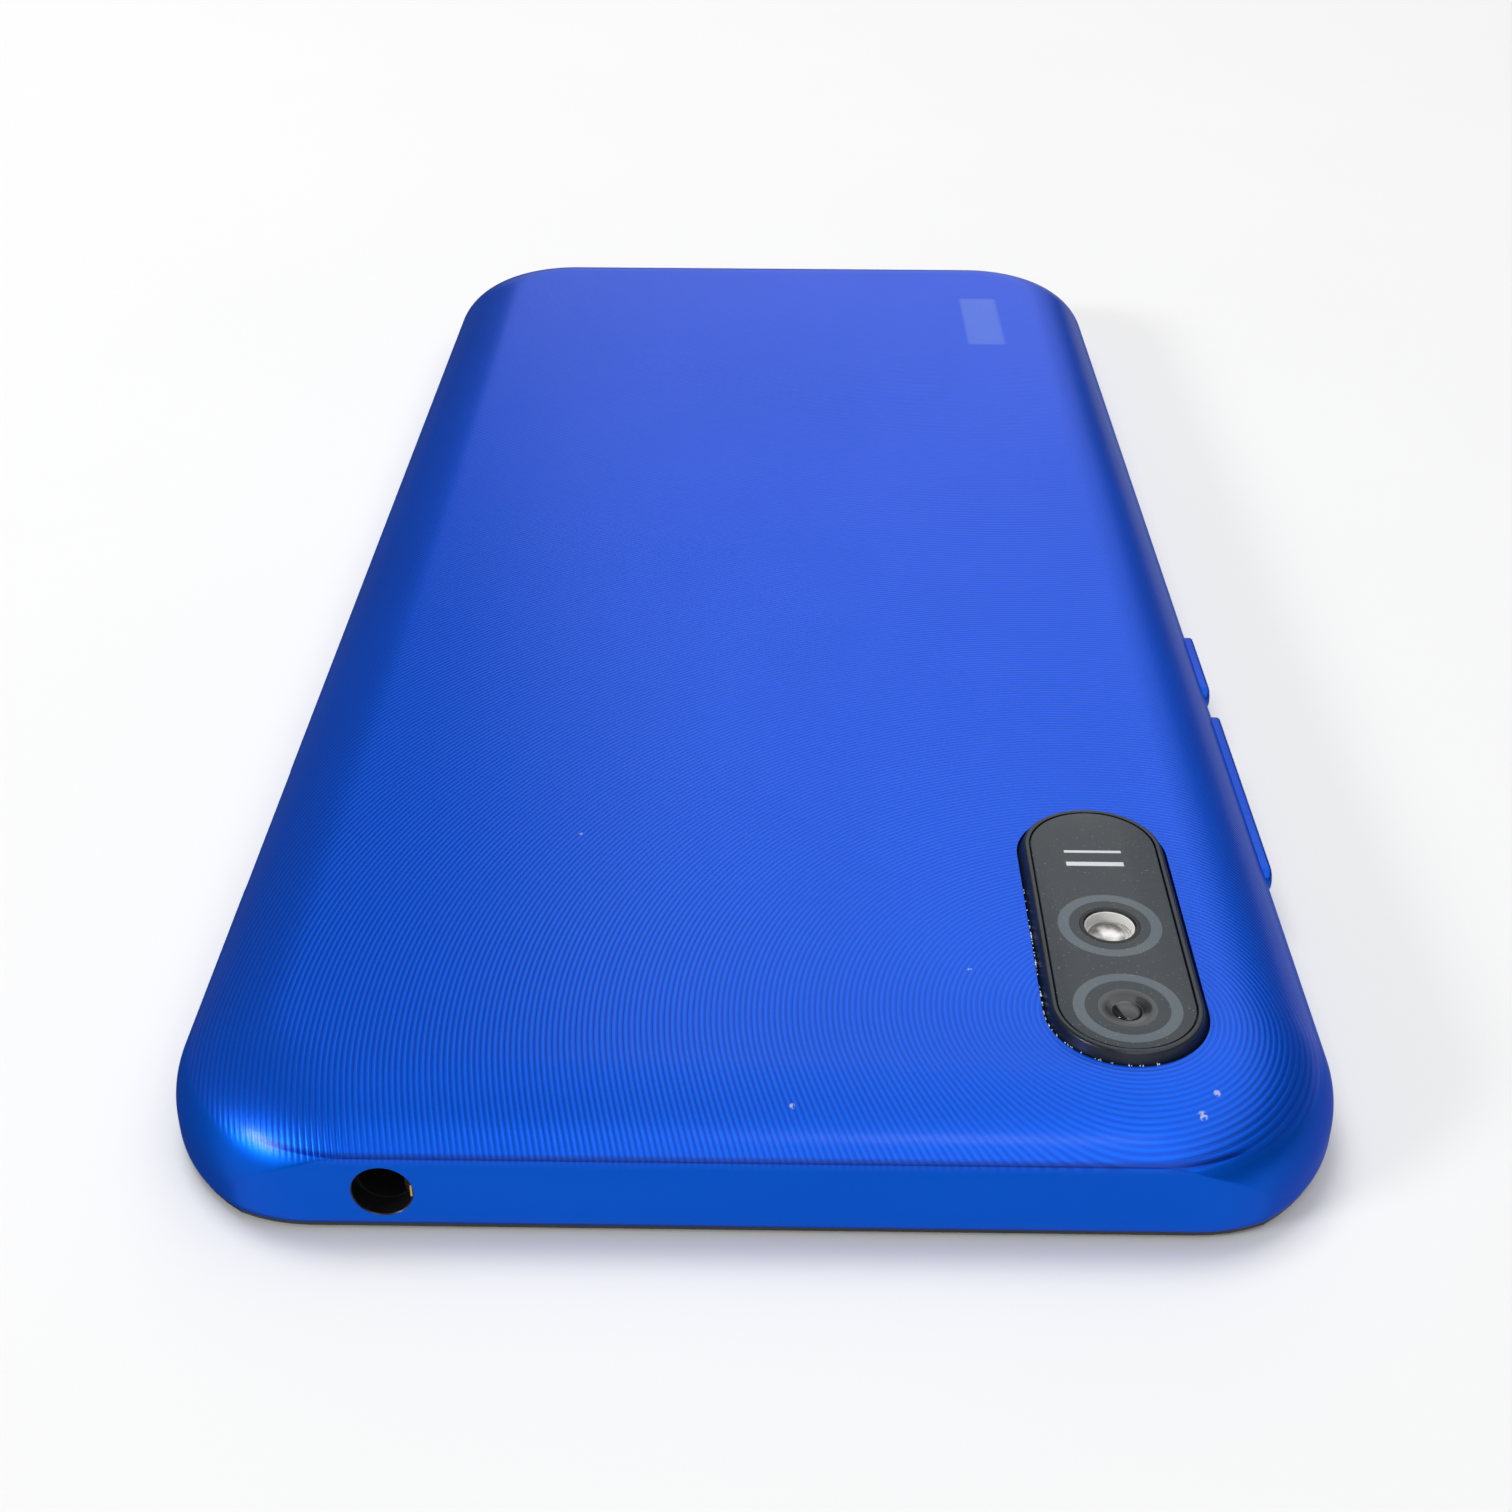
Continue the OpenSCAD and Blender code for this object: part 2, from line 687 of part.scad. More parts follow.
module audio_jack() {
    color("#17181a") difference() {
        block([jack_x - 3.2, jack_mouth_y + 0.05, plate_z0], [jack_x + 3.2, jack_mouth_y + jack_depth + 0.65, 5.5]);
        y_rod(jack_x, jack_mouth_y - 1, jack_mouth_y + 0.05 + jack_depth, jack_z, jack_r);
        for (k = [0 : 3]) {
            y = jack_mouth_y + 1.2 + 3 * k;
            s = k % 2 == 0 ? 1 : -1;
            block([jack_x + (s > 0 ? 1.5 : -2.6), y - 0.45, jack_z - 0.35], [jack_x + (s > 0 ? 2.6 : -1.5), y + 0.45, jack_z + 0.35]);
        }
    }
}

module audio_jack_contacts() {
    color("gold") for (k = [0 : 3]) {
        y = jack_mouth_y + 1.2 + 3 * k;
        s = k % 2 == 0 ? 1 : -1;
        block([jack_x + (s > 0 ? jack_r + 0.05 : -2.55), y - 0.4, jack_z - 0.3],
            [jack_x + (s > 0 ? 2.55 : -jack_r - 0.05), y + 0.4, jack_z + 0.3]);
    }
}

// Pan-head screw standing head up
module screw(p, z0, z1) {
    post(p, z0, z1, screw_r);
    difference() {
        post(p, z1, z1 + 0.5, screw_head_r);
        for (a = [0, 90]) {
            translate([p.x, p.y, z1 + 0.4]) rotate([0, 0, a]) cube([1.5, 0.3, 0.4], center = true);
        }
    }
}

module case_screws() {
    color("#3b3d40") {
        for (p = upper_screws) screw(p, plate_z1, 7);
        for (p = lower_screws) screw(p, plate_z1, 6.9);
        screw(speaker_screw, plate_z1, 6.9);
    }
}

rear_cover();
camera_bezel();
camera_window();
flash_lens();
flash_led();
camera_gasket();
power_button();
volume_button();
side_key_flex();
key_bracket();
sim_tray();
sim_reader();
sim_eject_rod();
sim_eject_arm();
mid_frame();
mid_plate();
display_panel();
cover_glass();
display_adhesive();
display_flex();
earpiece_mesh();
earpiece_receiver();
front_camera();
proximity_sensor();
rear_camera_module();
rear_camera_lens();
main_board();
processor_chip();
memory_chip();
thermal_pad();
shield_can_processor();
shield_can_radio();
board_connectors();
antenna_springs();
upper_bracket();
battery();
battery_adhesive();
battery_circuit();
interconnect_flex();
coax_cable();
sub_board();
usb_port();
usb_tongue();
microphone();
lower_bracket();
speaker_module();
speaker_cone();
speaker_mesh();
vibration_case();
vibration_weight();
audio_jack();
audio_jack_contacts();
case_screws();
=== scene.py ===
"""Visible pieces and finishes of a slab smartphone lying on its glass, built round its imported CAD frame."""
import json
import math

import bpy
import numpy as np
from bpy.props import FloatProperty, FloatVectorProperty, IntProperty, PointerProperty
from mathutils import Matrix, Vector


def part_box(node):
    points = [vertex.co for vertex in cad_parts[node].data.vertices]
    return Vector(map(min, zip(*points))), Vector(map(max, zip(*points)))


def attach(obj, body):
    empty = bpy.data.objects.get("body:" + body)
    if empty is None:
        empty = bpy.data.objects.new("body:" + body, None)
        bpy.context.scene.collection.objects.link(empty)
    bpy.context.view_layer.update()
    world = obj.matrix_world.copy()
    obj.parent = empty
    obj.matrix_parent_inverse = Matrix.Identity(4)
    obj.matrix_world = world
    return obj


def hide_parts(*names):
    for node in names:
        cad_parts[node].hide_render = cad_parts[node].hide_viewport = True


bl_info = {
    "name": "Slab Phone Looks",
    "version": (1, 0, 0),
    "blender": (4, 5, 0),
    "location": "View3D > Sidebar > Phone",
    "description": "Builds the visible pieces and finishes of a slab smartphone round its CAD frame",
    "category": "Add Mesh",
}

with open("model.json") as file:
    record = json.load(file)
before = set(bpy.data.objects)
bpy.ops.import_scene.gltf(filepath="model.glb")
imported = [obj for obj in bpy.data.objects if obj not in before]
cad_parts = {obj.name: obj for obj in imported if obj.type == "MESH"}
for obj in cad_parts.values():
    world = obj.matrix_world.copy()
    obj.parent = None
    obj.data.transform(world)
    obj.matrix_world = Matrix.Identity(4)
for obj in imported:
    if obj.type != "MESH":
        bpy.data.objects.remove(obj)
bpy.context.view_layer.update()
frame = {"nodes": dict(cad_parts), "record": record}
NODES = frame["nodes"]
NODE_SLOT = {part["node"]: part["material_slot"] for part in frame["record"]["subparts"]}
MM = 0.001
SMOOTH_ANGLE = math.radians(32)


def node_box(node):
    """Lowest and highest corners of a CAD node as two arrays."""
    low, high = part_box(node)
    return np.array(low), np.array(high)


def middle(node):
    """Centre of a CAD node's box."""
    low, high = node_box(node)
    return (low + high) / 2


COVER_LOW, COVER_HIGH = node_box("rear_cover")
HALF_W, HALF_L, BACK_Z = COVER_HIGH
BEZEL_LOW, BEZEL_HIGH = node_box("camera_bezel")
PLATE_LOW, PLATE_HIGH = node_box("camera_window")
LENS = middle("rear_camera_lens")
FLASH = middle("flash_lens")
JACK = middle("audio_jack")
USB_Z = middle("usb_port")[2]

# Clearance round a part that stands in an opening of the cover
GAP = 0.12 * MM
# How far a cutter starts inside the face it opens, and how far it stands out of it
CUT_IN = 3 * MM
CUT_OUT = 1.0 * MM
# The side keys: height of their middle line, half height of a cap, and each key's cap length
KEY_Z = 3.9 * MM
KEY_HALF = 1.1 * MM
POWER_RUN = 10.5 * MM
VOLUME_RUN = 23.8 * MM
# Radii of the openings for the headphone plug, the lens barrel and the flash
JACK_MOUTH = 1.9 * MM
LENS_BORE = 3.3 * MM
FLASH_BORE = 2.1 * MM
# Reflections from the flake paint are tinted blue
FLAKE_COAT = {"Coat_IOR": 1.33, "Coat_Roughness": 0.2, "Specular_Tint": (0.03, 0.33, 1.0)}
# Worn spots in the paint: place in plan and size, in mm
NICKS = ((29.0, -78.0, 0.28), (27.9, -79.6, 0.36), (2.5, -79.5, 0.22), (-13.0, -50.6, 0.2),
         (14.4, -66.4, 0.2))
# Two plain bars printed on the plate: lowest and highest corners, in mm
BARS = (((22.1, -55.1), (26.2, -54.6)), ((22.1, -53.45), (26.2, -53.15)))
# One faint plain bar on the back: lowest and highest corners
BACK_BAR = ((22.9 * MM, 51.3 * MM), (27.1 * MM, 66.7 * MM))


# --- Settings -------------------------------------------------------------------------------------


def length(name, description, default):
    """A size in metres that a user may change."""
    return FloatProperty(name=name, description=description, default=default, min=0.0, max=1.0,
                         precision=5, unit="LENGTH", subtype="DISTANCE")


def colour(name, description, default):
    """A linear colour that a user may change."""
    return FloatVectorProperty(name=name, description=description, default=default, size=3,
                               min=0.0, max=1.0, subtype="COLOR")


def amount(name, description, default, high=1.0):
    """A plain number that a user may change."""
    return FloatProperty(name=name, description=description, default=default, min=0.0, max=high)


class PHONE_PG_cover(bpy.types.PropertyGroup):
    """Sizes and colours of the one-piece rear cover."""

    pillow_radius: length("Pillow radius", "Plan radius of the pillow's corners", 14.0 * MM)
    end_radius: length("End radius", "Plan radius where the flat ends meet the sides", 11.0 * MM)
    end_overshoot: length("End overshoot", "How far the rolled edge would pass the flat ends", 1.39 * MM)
    belly: length("Belly height", "Height at which the sides are widest", 2.5 * MM)
    reach: length("Edge reach", "How far the rolled edge reaches in", 8.0 * MM)
    wall: length("Side wall", "Wall at the sides", 1.43 * MM)
    back_wall: length("Back wall", "Wall of the flat back", 1.0 * MM)
    crease: length("Crease radius", "Softness of the edge between end face and back", 0.12 * MM)
    groove_pitch: length("Groove pitch", "Distance between the turned grooves", 0.378 * MM)
    groove_depth: length("Groove depth", "Depth of the turned grooves", 0.017 * MM)
    blue: colour("Back blue", "Paint on the grooved back", (0.004, 0.125, 0.88))
    # The groove colour is painted shade: the bottoms of the grooves are coloured darker than the back blue,
    # on top of their relief.
    groove_shade_blue: colour("Groove blue", "Paint in the bottom of a groove", (0.004, 0.084, 0.69))
    band_blue: colour("End blue", "Paint on the plain ends and sides", (0.0005, 0.105, 0.70))
    roughness: amount("Roughness", "Satin roughness of the paint", 0.38)
    metal: amount("Metal flake", "Share of metal flake in the paint", 0.7)


class PHONE_PG_island(bpy.types.PropertyGroup):
    """Sizes and colours of the camera island."""

    rim: length("Rim", "Width of the trim showing round the plate", 0.32 * MM)
    spread: length("Foot spread", "How far the trim's foot spreads beyond its top", 0.4 * MM)
    fillet: length("Trim rounding", "Rounding of the trim's top edge", 0.22 * MM)
    ring_inner: length("Ring inner radius", "Inner radius of the printed rings", 2.79 * MM)
    ring_outer: length("Ring outer radius", "Outer radius of the printed rings", 3.55 * MM)
    lens_opening: length("Lens opening", "Radius of the clear opening over the lens", 1.95 * MM)
    plate: colour("Plate colour", "Printed glass of the island", (0.013, 0.021, 0.028))
    ring: colour("Ring colour", "Printed rings and bars", (0.074, 0.096, 0.116))
    flecks: IntProperty(name="Flecks", description="Dust flecks caught round the island", default=64,
                        min=0, max=200)


class PHONE_PG_keys(bpy.types.PropertyGroup):
    """Sizes of the side keys."""

    rounding: length("Key rounding", "Rounding of a key's outer edge", 0.3 * MM)
    blue: colour("Key blue", "Paint on the keys and the tray", (0.002, 0.09, 0.68))


class PHONE_PG_front(bpy.types.PropertyGroup):
    """Sizes of the front glass."""

    edge: length("Glass edge rounding", "Rounding of the front glass", 0.32 * MM)
    active_margin: length("Active margin", "Black border round the lit area", 1.6 * MM)


class PHONE_PG_stage(bpy.types.PropertyGroup):
    """Camera and lights."""

    camera_x: FloatProperty(name="Camera X", description="Camera place along the width",
                            default=1.378 * MM, unit="LENGTH", precision=5)
    camera_y: FloatProperty(name="Camera Y", description="Camera place along the length",
                            default=-177.83 * MM, unit="LENGTH", precision=5)
    camera_z: FloatProperty(name="Camera Z", description="Camera height",
                            default=94.385 * MM, unit="LENGTH", precision=5)
    focal: amount("Focal length", "Focal length in millimetres on a 36 mm sensor", 49.57, 300.0)
    key_power: amount("Key power", "Power of the key softbox in watts", 15.0, 500.0)
    window_power: amount("Window power", "Power of the low softbox on the left in watts", 9.0, 500.0)
    near_power: amount("Near light", "Power of the strip light in front in watts", 1.2, 500.0)
    sky: amount("Room brightness", "Brightness of the room round the phone", 1.0, 10.0)


# --- Shapes ---------------------------------------------------------------------------------------

AXES = {
    "z": np.array([[1, 0, 0], [0, 1, 0], [0, 0, 1]], float),
    "x": np.array([[0, 1, 0], [0, 0, 1], [1, 0, 0]], float),
    "y": np.array([[0, 0, 1], [1, 0, 0], [0, 1, 0]], float),
}


def rounded_outline(run_u, run_v, steps=10):
    """Stations round a rounded rectangle: corner centres base = (+-run_u, +-run_v), rays (cos a, sin a).

    A point at radius r is base + r * ray. With run_v = 0 it is a pill, and with both 0 a circle.
    """
    turn = np.linspace(0, math.pi / 2, steps + 1)
    angle = np.concatenate([turn + quarter * math.pi / 2 for quarter in range(4)])
    sign_u = np.repeat([1, -1, -1, 1], steps + 1)
    sign_v = np.repeat([1, 1, -1, -1], steps + 1)
    base = np.stack([sign_u * run_u, sign_v * run_v], -1)
    direction = np.stack([np.cos(angle), np.sin(angle)], -1)
    edge = base + 0.01 * direction
    keep = np.linalg.norm(edge - np.roll(edge, 1, 0), axis=1) > 1e-7
    return base[keep], direction[keep]


def grid_quads(rows, cols, ring=False):
    """Quads between neighbouring rows of a grid whose columns close on themselves."""
    row, col = np.meshgrid(np.arange(rows if ring else rows - 1), np.arange(cols), indexing="ij")
    nxt = (row + 1) % rows
    turn = (col + 1) % cols
    quads = [row * cols + col, row * cols + turn, nxt * cols + turn, nxt * cols + col]
    return np.stack(quads, -1).reshape(-1, 4)


def shell(points, ring=False, close=True):
    """Faces of a lofted grid of points (rows, columns, 3): quads between rows and an n-gon at each end."""
    rows, cols = points.shape[:2]
    faces = grid_quads(rows, cols, ring).tolist()
    if close and not ring:
        faces.append(list(range(cols))[::-1])
        faces.append(list(range((rows - 1) * cols, rows * cols)))
    return points.reshape(-1, 3), faces


def loft(outline, profile, axis="z", centre=(0, 0, 0), ring=False):
    """An outline carried along (radius, height) pairs: point = base + radius * ray, at that height."""
    base, direction = outline
    radius, height = np.array(profile, float).T
    flat = base[None] + radius[:, None, None] * direction[None]
    tall = np.broadcast_to(height[:, None, None], flat.shape[:2] + (1,))
    points = np.concatenate([flat, tall], -1) @ AXES[axis] + np.array(centre, float)
    return shell(points, ring)


def block(low, high, rounding=0.05 * MM):
    """A box between two corners with its four upright edges rounded and its top and bottom edges eased."""
    low, high = np.array(low, float), np.array(high, float)
    half = (high - low) / 2
    centre = (high + low) / 2
    ease = rounding * 0.6
    outline = rounded_outline(half[0] - rounding, half[1] - rounding, 3)
    profile = [(rounding - ease, -half[2]), (rounding, -half[2] + ease),
               (rounding, half[2] - ease), (rounding - ease, half[2])]
    return loft(outline, profile, "z", centre)


def quarter_round(r0, z0, r1, z1, steps=5):
    """Points on a quarter ellipse from (r0, z0) to (r1, z1) that leaves upright and arrives level."""
    angle = np.linspace(0, math.pi / 2, steps + 1)
    return [(r0 + (r1 - r0) * (1 - math.cos(a)), z0 + (z1 - z0) * math.sin(a)) for a in angle]


def mesh_piece(name, shells, materials, indices=None, angle=SMOOTH_ANGLE):
    """One object at the origin from closed shells, with a material index for each shell."""
    points = []
    faces = []
    slots = []
    start = 0
    for number, (shell_points, shell_faces) in enumerate(shells):
        points.append(shell_points)
        faces.extend([[start + corner for corner in face] for face in shell_faces])
        slots.extend([indices[number] if indices else 0] * len(shell_faces))
        start += len(shell_points)
    mesh = bpy.data.meshes.new(name)
    mesh.from_pydata(np.concatenate(points).tolist(), [], faces)
    for material in materials:
        mesh.materials.append(material)
    mesh.polygons.foreach_set("material_index", np.array(slots, np.int32))
    soften(mesh, angle)
    piece = bpy.data.objects.new(name, mesh)
    bpy.context.scene.collection.objects.link(piece)
    return piece


def soften(mesh, angle=SMOOTH_ANGLE):
    """Smooth shading with sharp edges kept where faces turn by more than the angle."""
    mesh.shade_smooth()
    mesh.set_sharp_from_angle(angle=angle)
    mesh.update()


def carve(piece, cutters, materials, indices=None):
    """Cuts closed shells out of a piece, with each cut's walls in the material slot given for it."""
    tool = mesh_piece(piece.name + "_cutter", cutters, materials, indices or [1] * len(cutters))
    cut = piece.modifiers.new("cut", "BOOLEAN")
    cut.operation = "DIFFERENCE"
    cut.solver = "EXACT"
    cut.object = tool
    bpy.context.view_layer.update()
    evaluated = piece.evaluated_get(bpy.context.evaluated_depsgraph_get())
    mesh = bpy.data.meshes.new_from_object(evaluated)
    piece.modifiers.clear()
    old = piece.data
    piece.data = mesh
    bpy.data.meshes.remove(old)
    mesh.name = piece.name
    tool_mesh = tool.data
    bpy.data.objects.remove(tool)
    bpy.data.meshes.remove(tool_mesh)
    soften(mesh)
    if len(mesh.polygons) < 10:
        raise RuntimeError(piece.name + " came out empty from its cut")
    return piece


def settle(piece, body, slot, *nodes):
    """Names what a piece rides on and hides the CAD nodes it stands for. The slot is not used."""
    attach(piece, body)
    if nodes:
        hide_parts(*nodes)
    return piece


# --- Finishes -------------------------------------------------------------------------------------


class NodeTree:
    """Short calls that add nodes to a tree."""

    def __init__(self, tree, place):
        self.tree = tree
        self.place = self.add("ShaderNodeTexCoord").outputs[place]

    def add(self, kind, **settings):
        node = self.tree.nodes.new(kind)
        for key, value in settings.items():
            setattr(node, key, value)
        return node

    def feed(self, socket, value):
        """Puts a number, colour or another node's output into a socket."""
        if isinstance(value, bpy.types.NodeSocket):
            self.tree.links.new(value, socket)
        elif hasattr(value, "__len__") and len(value) == 3 and len(socket.default_value) == 4:
            socket.default_value = (*value, 1.0)
        else:
            socket.default_value = value

    def calc(self, operation, *values):
        node = self.add("ShaderNodeMath", operation=operation)
        for number, value in enumerate(values):
            self.feed(node.inputs[number], value)
        return node.outputs[0]

    def ramp(self, value, low, high, out_low=0.0, out_high=1.0, kind="SMOOTHSTEP"):
        """Maps low..high of a value to out_low..out_high, clamped."""
        node = self.add("ShaderNodeMapRange", interpolation_type=kind)
        for number, item in enumerate((value, low, high, out_low, out_high)):
            self.feed(node.inputs[number], item)
        return node.outputs["Result"]

    def blend(self, share, first, second):
        """Mixes two colours."""
        node = self.add("ShaderNodeMix", data_type="RGBA")
        self.feed(node.inputs["Factor"], share)
        self.feed(node.inputs[6], first)
        self.feed(node.inputs[7], second)
        return node.outputs[2]

    def stops(self, value, stops):
        """A brightness that runs smoothly through (value, brightness) stops."""
        first, last = stops[0][0], stops[-1][0]
        ramp = self.add("ShaderNodeValToRGB")
        ramp.color_ramp.interpolation = "EASE"
        for number, (position, level) in enumerate(stops):
            share = (position - first) / (last - first)
            elements = ramp.color_ramp.elements
            if number == 0:
                stop = elements[0]
            elif number == len(stops) - 1:
                stop = elements[-1]
            else:
                stop = elements.new(share)
            stop.position = share
            stop.color = (level, level, level, 1)
        self.feed(ramp.inputs[0], self.ramp(value, first, last, kind="LINEAR"))
        return ramp.outputs[0]

    def stretch(self, scale):
        """Object coordinates stretched along each axis."""
        node = self.add("ShaderNodeMapping")
        self.feed(node.inputs["Vector"], self.place)
        self.feed(node.inputs["Scale"], scale)
        return node.outputs["Vector"]

    def noise(self, grain, detail=3.0, along=(1, 1, 1), rough=0.5):
        """Noise whose blobs are about grain metres wide."""
        node = self.add("ShaderNodeTexNoise")
        self.feed(node.inputs["Vector"], self.stretch(along) if along != (1, 1, 1) else self.place)
        self.feed(node.inputs["Scale"], 1.0 / grain)
        self.feed(node.inputs["Detail"], detail)
        self.feed(node.inputs["Roughness"], rough)
        return node.outputs["Fac"]

    def cells(self, grain, feature="F1", along=(1, 1, 1), output="Distance"):
        node = self.add("ShaderNodeTexVoronoi", feature=feature)
        self.feed(node.inputs["Vector"], self.stretch(along) if along != (1, 1, 1) else self.place)
        self.feed(node.inputs["Scale"], 1.0 / grain)
        return node.outputs[output]

    def xyz(self):
        node = self.add("ShaderNodeSeparateXYZ")
        self.feed(node.inputs[0], self.place)
        return node.outputs[0], node.outputs[1], node.outputs[2]

    def away(self, point):
        """Distance in plan from a point's upright axis."""
        x, y, _ = self.xyz()
        dx = self.calc("SUBTRACT", x, float(point[0]))
        dy = self.calc("SUBTRACT", y, float(point[1]))
        total = self.calc("ADD", self.calc("MULTIPLY", dx, dx), self.calc("MULTIPLY", dy, dy))
        return self.calc("SQRT", total)

    def box_mask(self, low, high, soft):
        """1 inside a rectangle in plan, falling to 0 over a soft width."""
        share = 1.0
        for value, a, b in zip(self.xyz(), low, high):
            inside = self.calc("MULTIPLY", self.ramp(value, a - soft, a + soft),
                               self.ramp(value, b - soft, b + soft, 1.0, 0.0))
            share = inside if share == 1.0 else self.calc("MULTIPLY", share, inside)
        return share


class Finish(NodeTree):
    """The node tree of one procedural material."""

    def __init__(self, name, **sockets):
        self.material = bpy.data.materials.new(name)
        self.material.use_nodes = True
        super().__init__(self.material.node_tree, "Object")
        self.shader = self.tree.nodes["Principled BSDF"]
        for socket, value in sockets.items():
            self.set(socket.replace("_", " "), value)

    def set(self, socket, value):
        """Sets a shader socket that is the same all over the surface."""
        field = self.shader.inputs[socket]
        field.default_value = (*value, 1.0) if hasattr(value, "__len__") and len(value) == 3 else value

    def colour(self, value):
        self.feed(self.shader.inputs["Base Color"], value)

    def roughness(self, value):
        self.feed(self.shader.inputs["Roughness"], value)

    def bump(self, height, depth, strength=1.0, after=None):
        """A height of 0..1 as relief that is depth metres deep."""
        node = self.add("ShaderNodeBump")
        self.feed(node.inputs["Strength"], strength)
        self.feed(node.inputs["Distance"], depth)
        self.feed(node.inputs["Height"], height)
        if after is not None:
            self.feed(node.inputs["Normal"], after)
        self.tree.links.new(node.outputs[0], self.shader.inputs["Normal"])
        return node.outputs[0]


def scaled(colour_value, factor):
    """A colour made lighter or darker."""
    return tuple(min(1.0, max(0.0, channel * factor)) for channel in colour_value)


def grained(name, base, spread=0.15, rough=0.5, rough_spread=0.1, grain=0.4 * MM, depth=0.004 * MM,
            along=(1, 1, 1), **sockets):
    """A moulded, rolled or woven surface: noise in its colour, its roughness and its relief."""
    finish = Finish(name, **sockets)
    patch = finish.noise(grain * 12, 3.0, along)
    fine = finish.noise(grain, 4.0, along)
    tone = finish.ramp(patch, 0.3, 0.7)
    finish.colour(finish.blend(tone, scaled(base, 1 - spread), scaled(base, 1 + spread)))
    finish.roughness(finish.ramp(fine, 0.25, 0.75, rough - rough_spread, rough + rough_spread))
    finish.bump(fine, depth)
    return finish


def paint_cover(cover):
    """Blue flake paint over turned grooves: rings of equal pitch about the lens, none on the ends."""
    paint = Finish("blue_grooved_paint", Metallic=cover.metal, **FLAKE_COAT)
    _, y, z = paint.xyz()
    radius = paint.away((LENS[0], LENS[1] + 0.18 * MM))
    wave = paint.calc("SINE", paint.calc("MULTIPLY", radius, 2 * math.pi / cover.groove_pitch))
    groove = paint.ramp(wave, -1.0, 0.9)
    zone = paint.ramp(z, 5.5 * MM, 6.25 * MM)
    ridge = paint.calc("ADD", paint.calc("MULTIPLY", paint.calc("SUBTRACT", groove, 1.0), zone), 1.0)
    smear = paint.noise(18 * MM, 4.0, (1, 0.45, 1))
    speck = paint.noise(0.12 * MM, 2.0)
    # Painted shade: the groove bottoms get the darker groove colour and the ridges get the back blue.
    back = paint.blend(ridge, tuple(cover.groove_shade_blue), tuple(cover.blue))
    body = paint.blend(zone, tuple(cover.band_blue), back)
    tinted = paint.blend(paint.ramp(speck, 0.35, 0.65, 0.0, 0.10), body, scaled(cover.blue, 1.25))
    nicks = None
    for px, py, size in NICKS:
        spot = paint.ramp(paint.away((px * MM, py * MM)), size * 0.5 * MM, size * MM, 1.0, 0.0)
        nicks = spot if nicks is None else paint.calc("MAXIMUM", nicks, spot)
    ragged = paint.ramp(paint.noise(0.22 * MM, 2.0), 0.40, 0.48)
    nicks = paint.calc("MULTIPLY", nicks, ragged)
    bar = paint.box_mask(*BACK_BAR, 0.25 * MM)
    marked = paint.blend(paint.calc("MULTIPLY", bar, 0.32), tinted, (0.35, 0.42, 0.85))
    # Painted shade: a dark navy line is blended in just above the crease of the flat ends.
    end = paint.ramp(paint.calc("ABSOLUTE", y), HALF_L - 2.0 * MM, HALF_L - 1.0 * MM)
    below_crease = paint.ramp(z, 6.1 * MM, 6.2 * MM)
    line = paint.calc("MULTIPLY", below_crease, paint.ramp(z, 6.25 * MM, 6.55 * MM, 0.75, 0.0))
    crease_shaded = paint.blend(paint.calc("MULTIPLY", line, end), marked, (0.001, 0.012, 0.22))
    paint.colour(paint.blend(nicks, crease_shaded, (0.42, 0.46, 0.75)))
    satin = paint.ramp(smear, 0.35, 0.7, cover.roughness - 0.03, cover.roughness + 0.05)
    paint.roughness(satin)
    paint.feed(paint.shader.inputs["Coat Weight"], paint.ramp(z, 5.5 * MM, 6.4 * MM, 0.08, 0.5))
    rough = paint.bump(speck, 0.0015 * MM)
    paint.bump(ridge, cover.groove_depth, 1.0, rough)
    return paint.material


def paint_plain(name, base, cover):
    """The same flake paint without grooves, for hole walls, keys and the tray."""
    paint = Finish(name, Metallic=cover.metal, Coat_Weight=0.5, **FLAKE_COAT)
    speck = paint.noise(0.12 * MM, 2.0)
    wide = paint.noise(3 * MM, 3.0)
    paint.colour(paint.blend(paint.ramp(speck, 0.3, 0.7), scaled(base, 0.9), scaled(base, 1.1)))
    paint.roughness(paint.ramp(wide, 0.3, 0.7, cover.roughness - 0.05, cover.roughness + 0.05))
    paint.bump(speck, 0.002 * MM)
    return paint.material


def print_plate(island):
    """Dark printed glass: lighter rings round the lens and the flash, and two plain bars."""
    plate = Finish("island_printed_glass", Coat_Weight=0.1, Coat_Roughness=0.05)
    marks = None
    for centre in (LENS, FLASH):
        away = plate.away(centre)
        inner = plate.ramp(away, island.ring_inner - 0.03 * MM, island.ring_inner + 0.03 * MM)
        outer = plate.ramp(away, island.ring_outer - 0.03 * MM, island.ring_outer + 0.03 * MM, 1.0, 0.0)
        ring = plate.calc("MULTIPLY", inner, outer)
        marks = ring if marks is None else plate.calc("MAXIMUM", marks, ring)
    haze = plate.noise(2.5 * MM, 4.0)
    dust = plate.ramp(plate.noise(0.16 * MM, 1.0), 0.70, 0.76, 0.0, 0.35)
    ground = plate.blend(plate.ramp(haze, 0.3, 0.7), scaled(island.plate, 0.92), scaled(island.plate, 1.1))
    printed = plate.blend(marks, ground, tuple(island.ring))
    bars = None
    for low, high in BARS:
        bar = plate.box_mask([v * MM for v in low], [v * MM for v in high], 0.025 * MM)
        bars = bar if bars is None else plate.calc("MAXIMUM", bars, bar)
    printed = plate.blend(bars, printed, (0.55, 0.58, 0.60))
    plate.colour(plate.blend(dust, printed, (0.3, 0.32, 0.34)))
    plate.roughness(plate.ramp(haze, 0.3, 0.7, 0.26, 0.34))
    return plate.material


# --- Pieces ---------------------------------------------------------------------------------------


